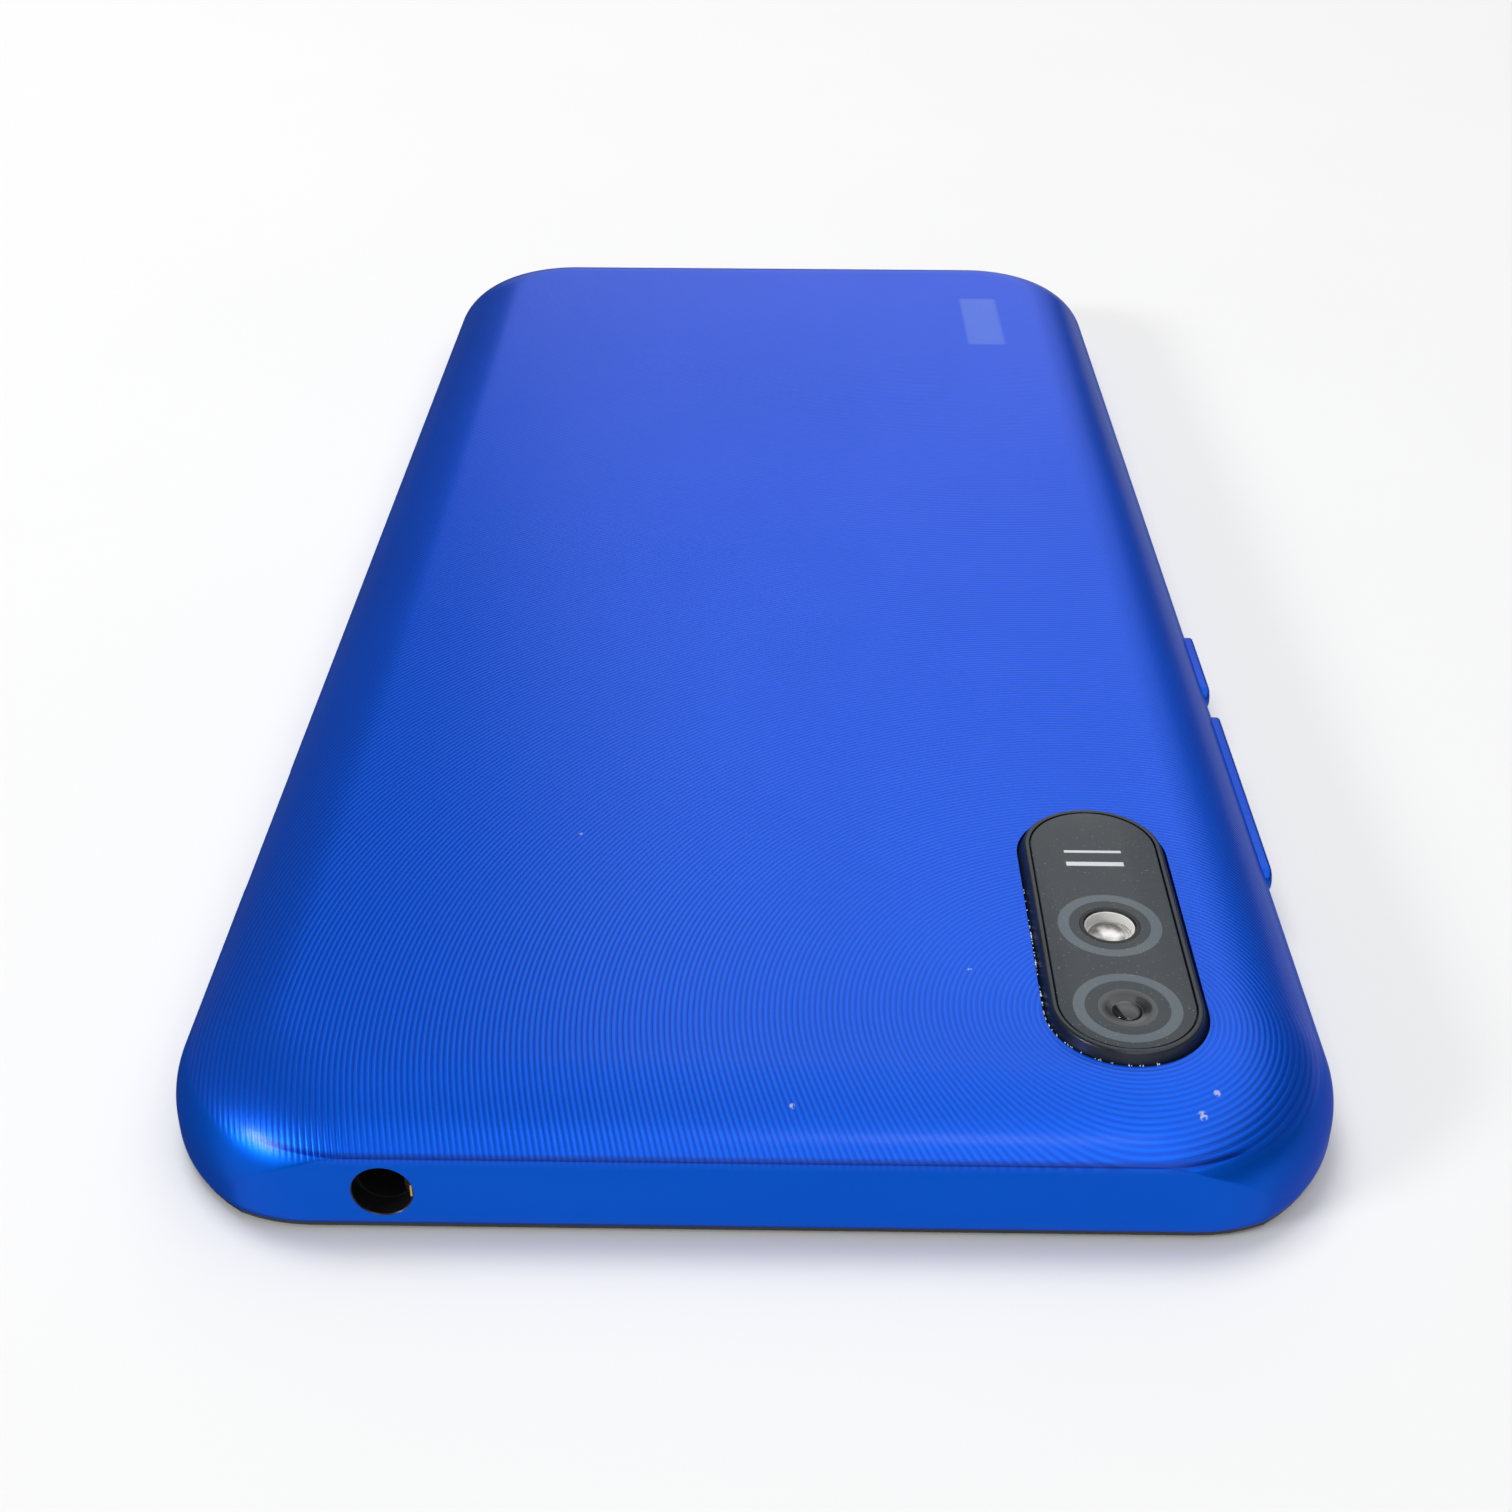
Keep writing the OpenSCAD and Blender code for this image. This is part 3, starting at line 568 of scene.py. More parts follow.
def prism_reach(base, direction, inset):
    """How far a ray from each base may go before it meets the flat-ended prism, moved in by an inset.

    The prism is a rounded rectangle a little wider than the body: a flat end, an arc and a flat side.
    """
    cover = bpy.context.scene.phone_cover
    wide = HALF_W + 0.2 * MM - inset
    long = HALF_L - inset
    radius = cover.end_radius - inset
    start = np.abs(base)
    ray = np.maximum(np.abs(direction), 1e-9)
    to_end = (long - start[:, 1]) / ray[:, 1]
    to_side = (wide - start[:, 0]) / ray[:, 0]
    offset = start - np.array([wide - radius, long - radius])
    dot = (offset * ray).sum(1)
    square = dot**2 - (offset**2).sum(1) + radius**2
    to_arc = -dot + np.sqrt(np.maximum(square, 0))
    end_hit = start[:, 0] + to_end * ray[:, 0] <= wide - radius
    side_hit = start[:, 1] + to_side * ray[:, 1] <= long - radius
    return np.where(end_hit, to_end, np.where(side_hit, to_side, to_arc))


def cover_stations():
    """Stations round the cover: rays from four corner centres, and level rays along the ends and sides."""
    cover = bpy.context.scene.phone_cover
    centre_x = HALF_W - cover.pillow_radius
    centre_y = HALF_L + cover.end_overshoot - cover.pillow_radius
    turn = np.linspace(0, math.pi / 2, 41)
    across = np.linspace(1, -1, 34)[1:-1]
    along = np.linspace(1, -1, 90)[1:-1]
    base = []
    angle = []
    for quarter, (sx, sy) in enumerate(((1, 1), (-1, 1), (-1, -1), (1, -1))):
        base.append(np.tile([sx * centre_x, sy * centre_y], (turn.size, 1)))
        angle.append(turn + quarter * math.pi / 2)
        run = across if quarter % 2 == 0 else along
        if quarter % 2 == 0:
            line = np.stack([run * sx * centre_x, np.full(run.size, sy * centre_y)], -1)
        else:
            line = np.stack([np.full(run.size, sx * centre_x), run * sy * centre_y], -1)
        base.append(line)
        angle.append(np.full(run.size, (quarter + 1) * math.pi / 2))
    angle = np.concatenate(angle)
    return np.concatenate(base), np.stack([np.cos(angle), np.sin(angle)], -1)


def cover_points():
    """The cover's closed section carried round its stations.

    Outside: upright to the belly, then inset = reach * (1 - cos t) and height = belly + rise * sin t,
    cut by the flat-ended prism with a soft crease. Inside: the same law moved in by the wall, over a lip
    for the frame.
    """
    cover = bpy.context.scene.phone_cover
    base, direction = cover_stations()
    rise = BACK_Z - cover.belly
    pillow = cover.pillow_radius
    limit = prism_reach(base, direction, 0.0)
    crease_inset = np.clip(pillow - limit, 0, cover.reach)
    crease_turn = np.arccos(1 - crease_inset / cover.reach)
    crease_z = cover.belly + rise * np.sin(crease_turn)
    side = np.minimum(pillow, limit)
    rows = []

    def add(distance, height):
        flat = base + np.broadcast_to(distance, limit.shape)[:, None] * direction
        rows.append(np.concatenate([flat, np.broadcast_to(height, limit.shape)[:, None]], -1))

    inner = np.minimum(pillow - cover.wall, prism_reach(base, direction, cover.wall))
    inner_rise = BACK_Z - cover.back_wall - cover.belly
    for t in np.linspace(math.pi / 2, 0, 12):
        inset = (cover.reach - 1.0 * MM) * (1 - math.cos(t))
        add(np.minimum(inner, pillow - cover.wall - inset), cover.belly + inner_rise * math.sin(t))
    add(inner, 1.35 * MM)
    lip = np.minimum(pillow - 0.55 * MM, prism_reach(base, direction, 0.55 * MM))
    add(lip, 1.35 * MM)
    add(lip, COVER_LOW[2])
    tuck = 0.26 * MM
    tuck_rise = 0.9 * MM
    for share in (0, 0.06, 0.14, 0.26, 0.42, 0.62, 0.85, 1.0):
        fall = 1 - math.sqrt(max(0.0, 1 - (1 - share) ** 2))
        add(side - tuck * fall, COVER_LOW[2] + share * tuck_rise)
    start_z = COVER_LOW[2] + tuck_rise
    low_z = crease_z - cover.crease
    for share in (0.33, 0.66, 1.0):
        add(side, start_z + (low_z - start_z) * share)
    high_turn = crease_turn + cover.crease / (0.87 * cover.reach)
    high_side = np.minimum(side, pillow - cover.reach * (1 - np.cos(high_turn)))
    high_z = cover.belly + rise * np.sin(high_turn)
    for u in (0.25, 0.5, 0.75):
        pull = (1 - u) ** 2, 2 * u * (1 - u), u**2
        add(pull[0] * side + pull[1] * side + pull[2] * high_side,
            pull[0] * low_z + pull[1] * crease_z + pull[2] * high_z)
    for share in np.linspace(0, 1, 36):
        t = high_turn + (math.pi / 2 - high_turn) * share
        add(pillow - cover.reach * (1 - np.cos(t)), cover.belly + rise * np.sin(t))
    add(pillow - cover.reach - 0.7 * MM, BACK_Z)
    return np.stack(rows)


def plug(low, high, axis, flare=0.0, steps=10, corner=None):
    """A closed pill or rounded block between two corners along an axis, its far end flared out."""
    low, high = np.array(low, float), np.array(high, float)
    half = AXES[axis] @ ((high - low) / 2)
    centre = (low + high) / 2
    radius = min(half[0], half[1]) if corner is None else corner
    outline = rounded_outline(half[0] - radius, half[1] - radius, steps)
    profile = [(radius, -half[2]), (radius, half[2])]
    if flare:
        profile = [(radius, -half[2]), (radius, half[2] - 1.0 * MM - flare),
                   (radius + flare, half[2] - 1.0 * MM), (radius + flare, half[2])]
    return loft(outline, profile, axis, centre)


def mirrored(shell_data, signs):
    """A shell times -1 along one axis, with its faces kept outward."""
    points, faces = shell_data
    return points * np.array(signs), [face[::-1] for face in faces]


def bore(centre, radius, low, high, steps):
    """An upright round plug about a centre, for cutting a hole."""
    return plug((centre[0] - radius, centre[1] - radius, low),
                (centre[0] + radius, centre[1] + radius, high), "z", 0, steps)


def end_cut(x_low, x_high, z_low, z_high, flare, steps, corner=None):
    """A plug through the end with the USB socket, from inside the wall to clear of it."""
    return plug((x_low, HALF_L - CUT_IN, z_low), (x_high, HALF_L + CUT_OUT, z_high), "y",
                flare, steps, corner)


def grown(node, amount_grown):
    """Corners of a node's box grown all round."""
    low, high = node_box(node)
    return low - amount_grown, high + amount_grown


def cover_cutters():
    """Closed shells for every opening in the cover."""
    outline, wide, centre = island_outline()
    foot = wide + bpy.context.scene.phone_island.spread + GAP
    cutters = [loft(outline, [(foot, 6.0 * MM), (foot, BACK_Z + CUT_OUT)], "z", centre)]
    jack = end_cut(JACK[0] - JACK_MOUTH, JACK[0] + JACK_MOUTH, JACK[2] - JACK_MOUTH, JACK[2] + JACK_MOUTH,
                   0.07 * MM, 14)
    cutters.append(mirrored(jack, [1, -1, 1]))
    usb_low, usb_high = grown("usb_port", 0.2 * MM)
    cutters.append(end_cut(usb_low[0], usb_high[0], usb_low[2], usb_high[2], 0.1 * MM, 8, 1.2 * MM))
    microphone = end_cut(-14.5 * MM, -13.5 * MM, USB_Z - 0.5 * MM, USB_Z + 0.5 * MM, 0.06 * MM, 6)
    cutters.append(microphone)
    speaker_x = middle("speaker_mesh")[0]
    for k in range(6):
        x = speaker_x + (k - 2.5) * 2.4 * MM
        cutters.append(end_cut(x - 0.55 * MM, x + 0.55 * MM, USB_Z - 1.1 * MM, USB_Z + 1.1 * MM,
                               0.06 * MM, 6))
    half_high = 1.22 * MM
    for y, run in ((-16.35 * MM, POWER_RUN), (-37.1 * MM, VOLUME_RUN)):
        half = run / 2 + GAP
        cutters.append(plug((HALF_W - 4 * MM, y - half, KEY_Z - half_high),
                            (HALF_W + CUT_OUT, y + half, KEY_Z + half_high), "x", 0.05 * MM, 8))
    tray = plug((HALF_W - 4 * MM, -53.08 * MM, 2.82 * MM),
                (HALF_W + CUT_OUT, -34.92 * MM, 5.18 * MM), "x", 0.0, 8)
    cutters.append(mirrored(tray, [-1, 1, 1]))
    return cutters


def add_cover():
    cover = bpy.context.scene.phone_cover
    # The walls of the jack hole are coloured near black.
    socket = grained("jack_hole_wall_black", (0.006, 0.006, 0.008), 0.2, 0.4, 0.1, 0.2 * MM, 0.003 * MM)
    # The walls of the openings get the end blue made darker by 0.8, which is painted shade in the recesses.
    paints = [paint_cover(cover), paint_plain("blue_hole_wall_shaded", scaled(cover.band_blue, 0.8), cover),
              socket.material]
    piece = mesh_piece("rear_cover_shell", [shell(cover_points())], paints)
    cutters = cover_cutters()
    carve(piece, cutters, paints, [2 if number == 1 else 1 for number in range(len(cutters))])
    settle(piece, "phone", "cover_blue", "rear_cover")


def island_outline(steps=28):
    """Stations round the island's top face, its half width and its centre, from the plate and a rim."""
    margin = 0.36 * MM
    half = (PLATE_HIGH - PLATE_LOW) / 2 + margin
    centre = np.array([LENS[0], (PLATE_LOW[1] + PLATE_HIGH[1]) / 2, 0.0])
    return rounded_outline(0.0, half[1] - half[0], steps), half[0], centre


def add_island():
    """Trim: a pill whose wall slopes in from its foot, rounds over a rim and drops to the plate's seat."""
    island = bpy.context.scene.phone_island
    outline, wide, centre = island_outline()
    top = BEZEL_HIGH[2]
    foot = wide + island.spread
    trim = grained("island_trim_gloss", (0.008, 0.013, 0.022), 0.2, 0.34, 0.06, 0.3 * MM, 0.0006 * MM,
                   Coat_Weight=0.12, Coat_Roughness=0.1).material
    floor_z = PLATE_LOW[2]
    shoulder = wide + 0.28 * island.spread
    profile = [(foot, BEZEL_LOW[2]), (foot, BACK_Z - 0.1 * MM), (shoulder, top - island.fillet)]
    profile += quarter_round(shoulder, top - island.fillet, wide - island.fillet * 0.6, top)[1:]
    rim_in = wide - island.rim
    profile += [(rim_in + 0.03 * MM, top), (rim_in, top - 0.03 * MM), (rim_in, floor_z)]
    ring = loft(outline, profile, "z", centre)
    bezel = mesh_piece("island_bezel", [ring], [trim])
    above = 11 * MM
    bores = [bore(LENS, LENS_BORE, 6 * MM, above, 12), bore(FLASH, FLASH_BORE, 6 * MM, above, 12)]
    carve(bezel, bores, [trim], [0, 0])
    strips = []
    for side in (-1, 1):
        strip_x = LENS[0] + side * 5.5 * MM
        strips.append(block((strip_x - 0.3 * MM, -73.2 * MM, BACK_Z - 1.45 * MM),
                            (strip_x + 0.3 * MM, -48.5 * MM, BACK_Z - 1.1 * MM)))
    flange = mesh_piece("island_flange", strips, [trim])
    settle(bezel, "phone", "island_trim", "camera_bezel")
    settle(flange, "phone", "island_trim")

    plate_r = wide - island.rim - 0.09 * MM
    plate_top = PLATE_HIGH[2]
    ease = 0.06 * MM
    plate_profile = [(plate_r, floor_z), (plate_r, plate_top - ease)]
    plate_profile += quarter_round(plate_r, plate_top - ease, plate_r - ease, plate_top, 3)[1:]
    printed = print_plate(island)
    edge = grained("plate_cut_edge", (0.01, 0.012, 0.014), 0.2, 0.3, 0.08, 0.2 * MM, 0.001 * MM).material
    plate = mesh_piece("island_plate", [loft(outline, plate_profile, "z", centre)], [printed, edge])
    holes = [bore(LENS, island.lens_opening, 8 * MM, above, 14), bore(FLASH, FLASH_BORE, 8 * MM, above, 14)]
    carve(plate, holes, [printed, edge])
    settle(plate, "phone", "island_plate", "camera_window")

    add_flecks(island)


def add_flecks(island):
    """Dust caught in the gap: eight-faced chips at random places along the pill's left and near edge."""
    random = np.random.default_rng(11)
    count = island.flecks
    outline, wide, centre = island_outline()
    run = outline[0][:, 1].max()
    wide = wide + island.spread
    share = np.sort(random.beta(2.2, 1.5, count))
    side = share < 0.62
    along_side = 1 - share / 0.62
    angle = math.pi + (share - 0.62) / 0.38 * math.radians(115)
    radius = wide + 0.06 * MM
    x = np.where(side, -radius, radius * np.cos(angle))
    y = np.where(side, -run + 2 * run * along_side, -run + radius * np.sin(angle))
    place = np.stack([x, y, np.full(count, BACK_Z + 0.01 * MM)], -1) + centre
    size = np.stack([random.uniform(0.03, 0.08, count), random.uniform(0.04, 0.2, count),
                     random.uniform(0.04, 0.09, count)], -1) * MM
    chip = np.array([[1, 0, 0], [0, 1, 0], [-1, 0, 0], [0, -1, 0], [0, 0, 1], [0, 0, -1]], float)
    corners = place[:, None] + chip[None] * size[:, None] * random.uniform(0.6, 1.2, (count, 6, 1))
    faces = np.array([[0, 1, 4], [1, 2, 4], [2, 3, 4], [3, 0, 4],
                      [1, 0, 5], [2, 1, 5], [3, 2, 5], [0, 3, 5]])
    faces = (faces[None] + 6 * np.arange(count)[:, None, None]).reshape(-1, 3).tolist()
    dust = grained("pale_dust", (0.62, 0.65, 0.72), 0.25, 0.85, 0.1, 0.05 * MM, 0.002 * MM).material
    flecks = mesh_piece("island_dust_flecks", [(corners.reshape(-1, 3), faces)], [dust], angle=0.1)
    settle(flecks, "phone", "white_adhesive")


def dome(circle, centre, radius, low, high, skirt=0.05 * MM):
    """A closed cap: radius * cos a at height low + (high - low) * sin a, on a short skirt."""
    turn = np.linspace(0.0, 1.54, 12)
    profile = [(radius, low - skirt)]
    profile += [(radius * math.cos(a), low + (high - low) * math.sin(a)) for a in turn]
    return loft(circle, profile, "z", (centre[0], centre[1], 0))


def add_optics():
    """Lens window with its bulging eye, the barrel below it, and the flash's collar, cup and low lens."""
    island = bpy.context.scene.phone_island
    circle = rounded_outline(0, 0, 16)
    top = PLATE_HIGH[2]
    barrel_low, barrel_high = node_box("rear_camera_lens")
    rise = barrel_high[2]
    black = grained("barrel_black", (0.012, 0.013, 0.015), 0.2, 0.45, 0.1, 0.15 * MM, 0.002 * MM).material
    profile = [(2.95, barrel_low[2] / MM), (3.0, barrel_low[2] / MM + 0.05), (3.0, 7.95), (2.95, 8.0),
               (2.6, 8.0),
               (2.6, rise / MM - 0.05), (2.55, rise / MM), (2.2, rise / MM), (1.98, rise / MM - 0.16),
               (1.9, rise / MM - 0.16), (1.85, rise / MM - 0.3)]
    barrel = loft(circle, np.array(profile) * MM, "z", (LENS[0], LENS[1], 0))
    coated = Finish("coated_element", Coat_Weight=1.0, Coat_Roughness=0.02)
    outward = coated.ramp(coated.away(LENS), 0.5 * MM, 1.8 * MM)
    coated.colour(coated.blend(outward, (0.004, 0.005, 0.012), (0.03, 0.03, 0.035)))
    coated.roughness(coated.ramp(coated.noise(0.4 * MM), 0.3, 0.7, 0.05, 0.1))
    element = dome(circle, LENS, 1.83 * MM, rise - 0.4 * MM, rise - 0.02 * MM)
    lens = mesh_piece("lens_barrel", [barrel, element], [black, coated.material], [0, 1])
    settle(lens, "focus_barrel", "lens_black", "rear_camera_lens")

    smoked = Finish("smoked_window", Coat_Weight=0.8, Coat_Roughness=0.03, Transmission_Weight=0.1)
    away = smoked.away(LENS)
    shade = smoked.blend(smoked.ramp(away, 1.55 * MM, 1.94 * MM), (0.014, 0.015, 0.018),
                         tuple(island.plate))
    pupil = smoked.ramp(away, 0.8 * MM, 1.05 * MM, 1.0, 0.0)
    smoked.colour(smoked.blend(pupil, shade, (0.006, 0.007, 0.009)))
    smoked.roughness(smoked.ramp(away, 0.95 * MM, 1.4 * MM, 0.10, 0.32))
    edge = island.lens_opening - 0.005 * MM
    window = [(edge, top - 0.4 * MM), (edge, top - 0.005 * MM), (edge - 0.1 * MM, top - 0.012 * MM),
              (1.4 * MM, top - 0.06 * MM), (1.02 * MM, top - 0.28 * MM)]
    eye = [(1.0 * MM * math.cos(a), top - 0.28 * MM + 0.27 * MM * math.sin(a))
           for a in np.linspace(0.0, 1.54, 14)]
    glass = loft(circle, window + eye, "z", (LENS[0], LENS[1], 0))
    settle(mesh_piece("lens_window", [glass], [smoked.material]), "phone", "clear_lens")

    cup_top = top - 0.03 * MM
    cup_floor = cup_top - 0.93 * MM
    insert = [(2.09 * MM, 7.75 * MM), (2.09 * MM, top), (2.02 * MM, top + 0.025 * MM),
              (1.84 * MM, top + 0.015 * MM), (1.72 * MM, cup_top - 0.08 * MM), (1.72 * MM, 7.75 * MM)]
    collar = loft(circle, insert, "z", (FLASH[0], FLASH[1], 0), ring=True)
    silver = grained("reflector_silver", (0.90, 0.89, 0.86), 0.05, 0.32, 0.06, 0.8 * MM, 0.0004 * MM,
                     Metallic=0.1).material
    cup = [(1.71 * MM, 7.8 * MM), (1.71 * MM, cup_top - 0.1 * MM), (1.68 * MM, cup_top - 0.12 * MM),
           (1.62 * MM, cup_top - 0.4 * MM), (1.55 * MM, cup_floor + 0.1 * MM), (1.45 * MM, cup_floor),
           (0.02 * MM, cup_floor)]
    bowl = loft(circle, cup, "z", (FLASH[0], FLASH[1], 0))
    flash = mesh_piece("flash_cup", [collar, bowl], [black, silver], [0, 1])
    settle(flash, "phone", "clear_lens", "flash_lens")
    clear = Finish("flash_lens_clear", Metallic=0.55, Coat_Weight=1.0, Coat_Roughness=0.04)
    # Painted light and shade: the flash lens is coloured light on its near side and dark on its far side,
    # broken up by noise.
    painted_near_light = clear.ramp(clear.xyz()[1], FLASH[1] - 0.7 * MM, FLASH[1] + 0.9 * MM, 1.0, 0.0)
    painted_near_light = clear.calc("MULTIPLY", painted_near_light, clear.ramp(clear.noise(0.9 * MM), 0.35, 0.6, 0.35, 1.0))
    clear.colour(clear.blend(painted_near_light, (0.05, 0.05, 0.05), (0.80, 0.79, 0.77)))
    clear.roughness(clear.ramp(clear.noise(0.5 * MM), 0.3, 0.7, 0.10, 0.22))
    bulb = dome(circle, FLASH, 1.42 * MM, cup_floor + 0.08 * MM, cup_floor + 0.6 * MM)
    settle(mesh_piece("flash_front_lens", [bulb], [clear.material]), "phone", "clear_lens")


def key_shells(node, cap_run, pads, root=0.0):
    """A key: a rounded pill cap over a flange and its pushers, all inside the CAD key's box."""
    keys = bpy.context.scene.phone_keys
    low, high = node_box(node)
    y = (low[1] + high[1]) / 2
    outline = rounded_outline(cap_run / 2 - KEY_HALF, 0.0, 8)
    back = low[0] + root
    base_x = back + 0.6 * MM
    shoulder = high[0] - keys.rounding
    profile = [(KEY_HALF, base_x), (KEY_HALF, shoulder)]
    profile += quarter_round(KEY_HALF, shoulder, KEY_HALF - keys.rounding, high[0], 5)[1:]
    cap = loft(outline, profile, "x", (0, y, KEY_Z))
    flange = block((back + 0.2 * MM, low[1], KEY_Z - KEY_HALF),
                   (base_x + 0.05 * MM, high[1], KEY_Z + KEY_HALF), 0.1 * MM)
    shells = [cap, flange]
    for offset in pads:
        shells.append(block((back, y + offset - 1 * MM, KEY_Z - 0.8 * MM),
                            (back + 0.25 * MM, y + offset + 1 * MM, KEY_Z + 0.8 * MM)))
    return shells


def add_keys():
    cover = bpy.context.scene.phone_cover
    keys = bpy.context.scene.phone_keys
    paint = paint_plain("blue_key_paint", tuple(keys.blue), cover)
    power = mesh_piece("power_key_cap", key_shells("power_button", POWER_RUN, (0,)), [paint])
    settle(power, "power_key", "key_blue", "power_button")
    shells = key_shells("volume_button", VOLUME_RUN, (-7 * MM, 7 * MM), 0.2 * MM)
    low, high = node_box("volume_button")
    post = [(0.25 * MM, low[2] + 0.3 * MM), (0.25 * MM, high[2] - 0.3 * MM)]
    pivot = (low[0] + 0.25 * MM, (low[1] + high[1]) / 2, 0)
    shells.append(loft(rounded_outline(0.0, 0.0, 8), post, "z", pivot))
    volume = mesh_piece("volume_key_cap", shells, [paint])
    settle(volume, "volume_key", "key_blue", "volume_button")


def add_front():
    """Front glass: the cover's plan moved in, with a rounded lower edge, and a slot for the earpiece."""
    front = bpy.context.scene.phone_front
    glass_high = node_box("cover_glass")[1]
    inset = HALF_W - glass_high[0]
    base, direction = cover_stations()
    cover = bpy.context.scene.phone_cover
    reach = np.minimum(cover.pillow_radius - inset, prism_reach(base, direction, inset))
    edge = front.edge
    angles = np.linspace(math.pi / 2, 0, 8)
    heights = [edge * (1 - math.sin(a)) for a in angles] + [glass_high[2] - 0.02 * MM, glass_high[2]]
    drops = [edge * 1.6 * (1 - math.cos(a)) for a in angles] + [0.0, 0.02 * MM]
    stack = []
    for drop, height in zip(drops, heights):
        flat = base + (reach - drop)[:, None] * direction
        stack.append(np.concatenate([flat, np.full((len(flat), 1), height)], -1))
    black = Finish("front_black_glass", Coat_Weight=1.0, Coat_Roughness=0.02, IOR=1.5)
    panel_low, panel_high = node_box("display_panel")
    margin = front.active_margin
    active = black.box_mask(panel_low[:2] + margin, panel_high[:2] - margin, 0.05 * MM)
    smudge = black.noise(14 * MM, 4.0)
    black.colour(black.blend(active, (0.0035, 0.0035, 0.004), (0.010, 0.011, 0.013)))
    black.roughness(black.ramp(smudge, 0.35, 0.7, 0.04, 0.14))
    piece = mesh_piece("front_glass", [shell(np.stack(stack))], [black.material])
    mesh_low, mesh_high = node_box("earpiece_mesh")
    slot_y = (mesh_low[1] + mesh_high[1]) / 2
    slot = plug((-5.6 * MM, slot_y - 0.3 * MM, -1 * MM), (5.6 * MM, slot_y + 0.3 * MM, 1 * MM), "z", 0, 6)
    carve(piece, [slot], [black.material], [0])
    settle(piece, "phone", "front_glass", "cover_glass")


def add_jack_leaf():
    """A sprung contact leaf: a strip whose middle bulges into the bore as one arch of a sine."""
    gold = grained("leaf_gold", (0.75, 0.5, 0.2), 0.12, 0.3, 0.08, 0.1 * MM, 0.001 * MM, Metallic=1.0)
    run = np.linspace(0, 1, 17)
    bulge = np.sin(run * math.pi) ** 1.5 * 0.55 * MM + 0.1 * MM
    mouth = -HALF_L + 0.12 * MM
    shells = []
    for side, start in ((1, 0.0), (-1, 3.0 * MM)):
        outer = JACK[0] + side * (1.84 * MM - bulge)
        y = mouth + start + run * 2.6 * MM
        z = JACK[2]
        half = 0.45 * MM
        thick = 0.12 * MM
        cross = [(0, -half), (0, half), (thick, half), (thick, -half)]
        points = np.stack([np.stack([outer + side * offset, y, np.full(run.size, z + height)], -1)
                           for offset, height in (cross if side > 0 else cross[::-1])], 1)
        shells.append(shell(points))
    leaf = mesh_piece("jack_contact_leaves", shells, [gold.material])
    settle(leaf, "phone", "gold_plate")


# --- Finishes of the carried-over CAD nodes -------------------------------------------------------


def board_finish():
    """Green solder mask over fine copper traces and round pads."""
    board = Finish("board_green_mask", Coat_Weight=0.6, Coat_Roughness=0.2)
    x, _, _ = board.xyz()
    wander = board.calc("ADD", x, board.noise(5 * MM))
    lines = board.calc("SINE", board.calc("MULTIPLY", wander, 2 * math.pi / (0.5 * MM)))
    traces = board.ramp(lines, 0.3, 0.6)
    pads = board.ramp(board.cells(1.4 * MM), 0.16 * MM * 700, 0.2 * MM * 700, 1.0, 0.0)
    ground = board.blend(traces, (0.006, 0.07, 0.03), (0.015, 0.15, 0.06))
    board.colour(board.blend(pads, ground, (0.6, 0.45, 0.15)))
    board.roughness(board.ramp(board.noise(0.8 * MM), 0.3, 0.7, 0.3, 0.45))
    board.bump(traces, 0.01 * MM)
    return board


def woven_finish(name, base, pitch):
    """A fine woven mesh: two crossed sines make threads and holes."""
    mesh = Finish(name, Metallic=0.4)
    x, _, z = mesh.xyz()
    first = mesh.calc("SINE", mesh.calc("MULTIPLY", x, 2 * math.pi / pitch))
    second = mesh.calc("SINE", mesh.calc("MULTIPLY", z, 2 * math.pi / pitch))
    weave = mesh.ramp(mesh.calc("MULTIPLY", first, second), -0.6, 0.6)
    mesh.colour(mesh.blend(weave, scaled(base, 0.3), scaled(base, 1.4)))
    mesh.roughness(mesh.ramp(weave, 0.0, 1.0, 0.7, 0.4))
    mesh.bump(weave, 0.02 * MM)
    return mesh


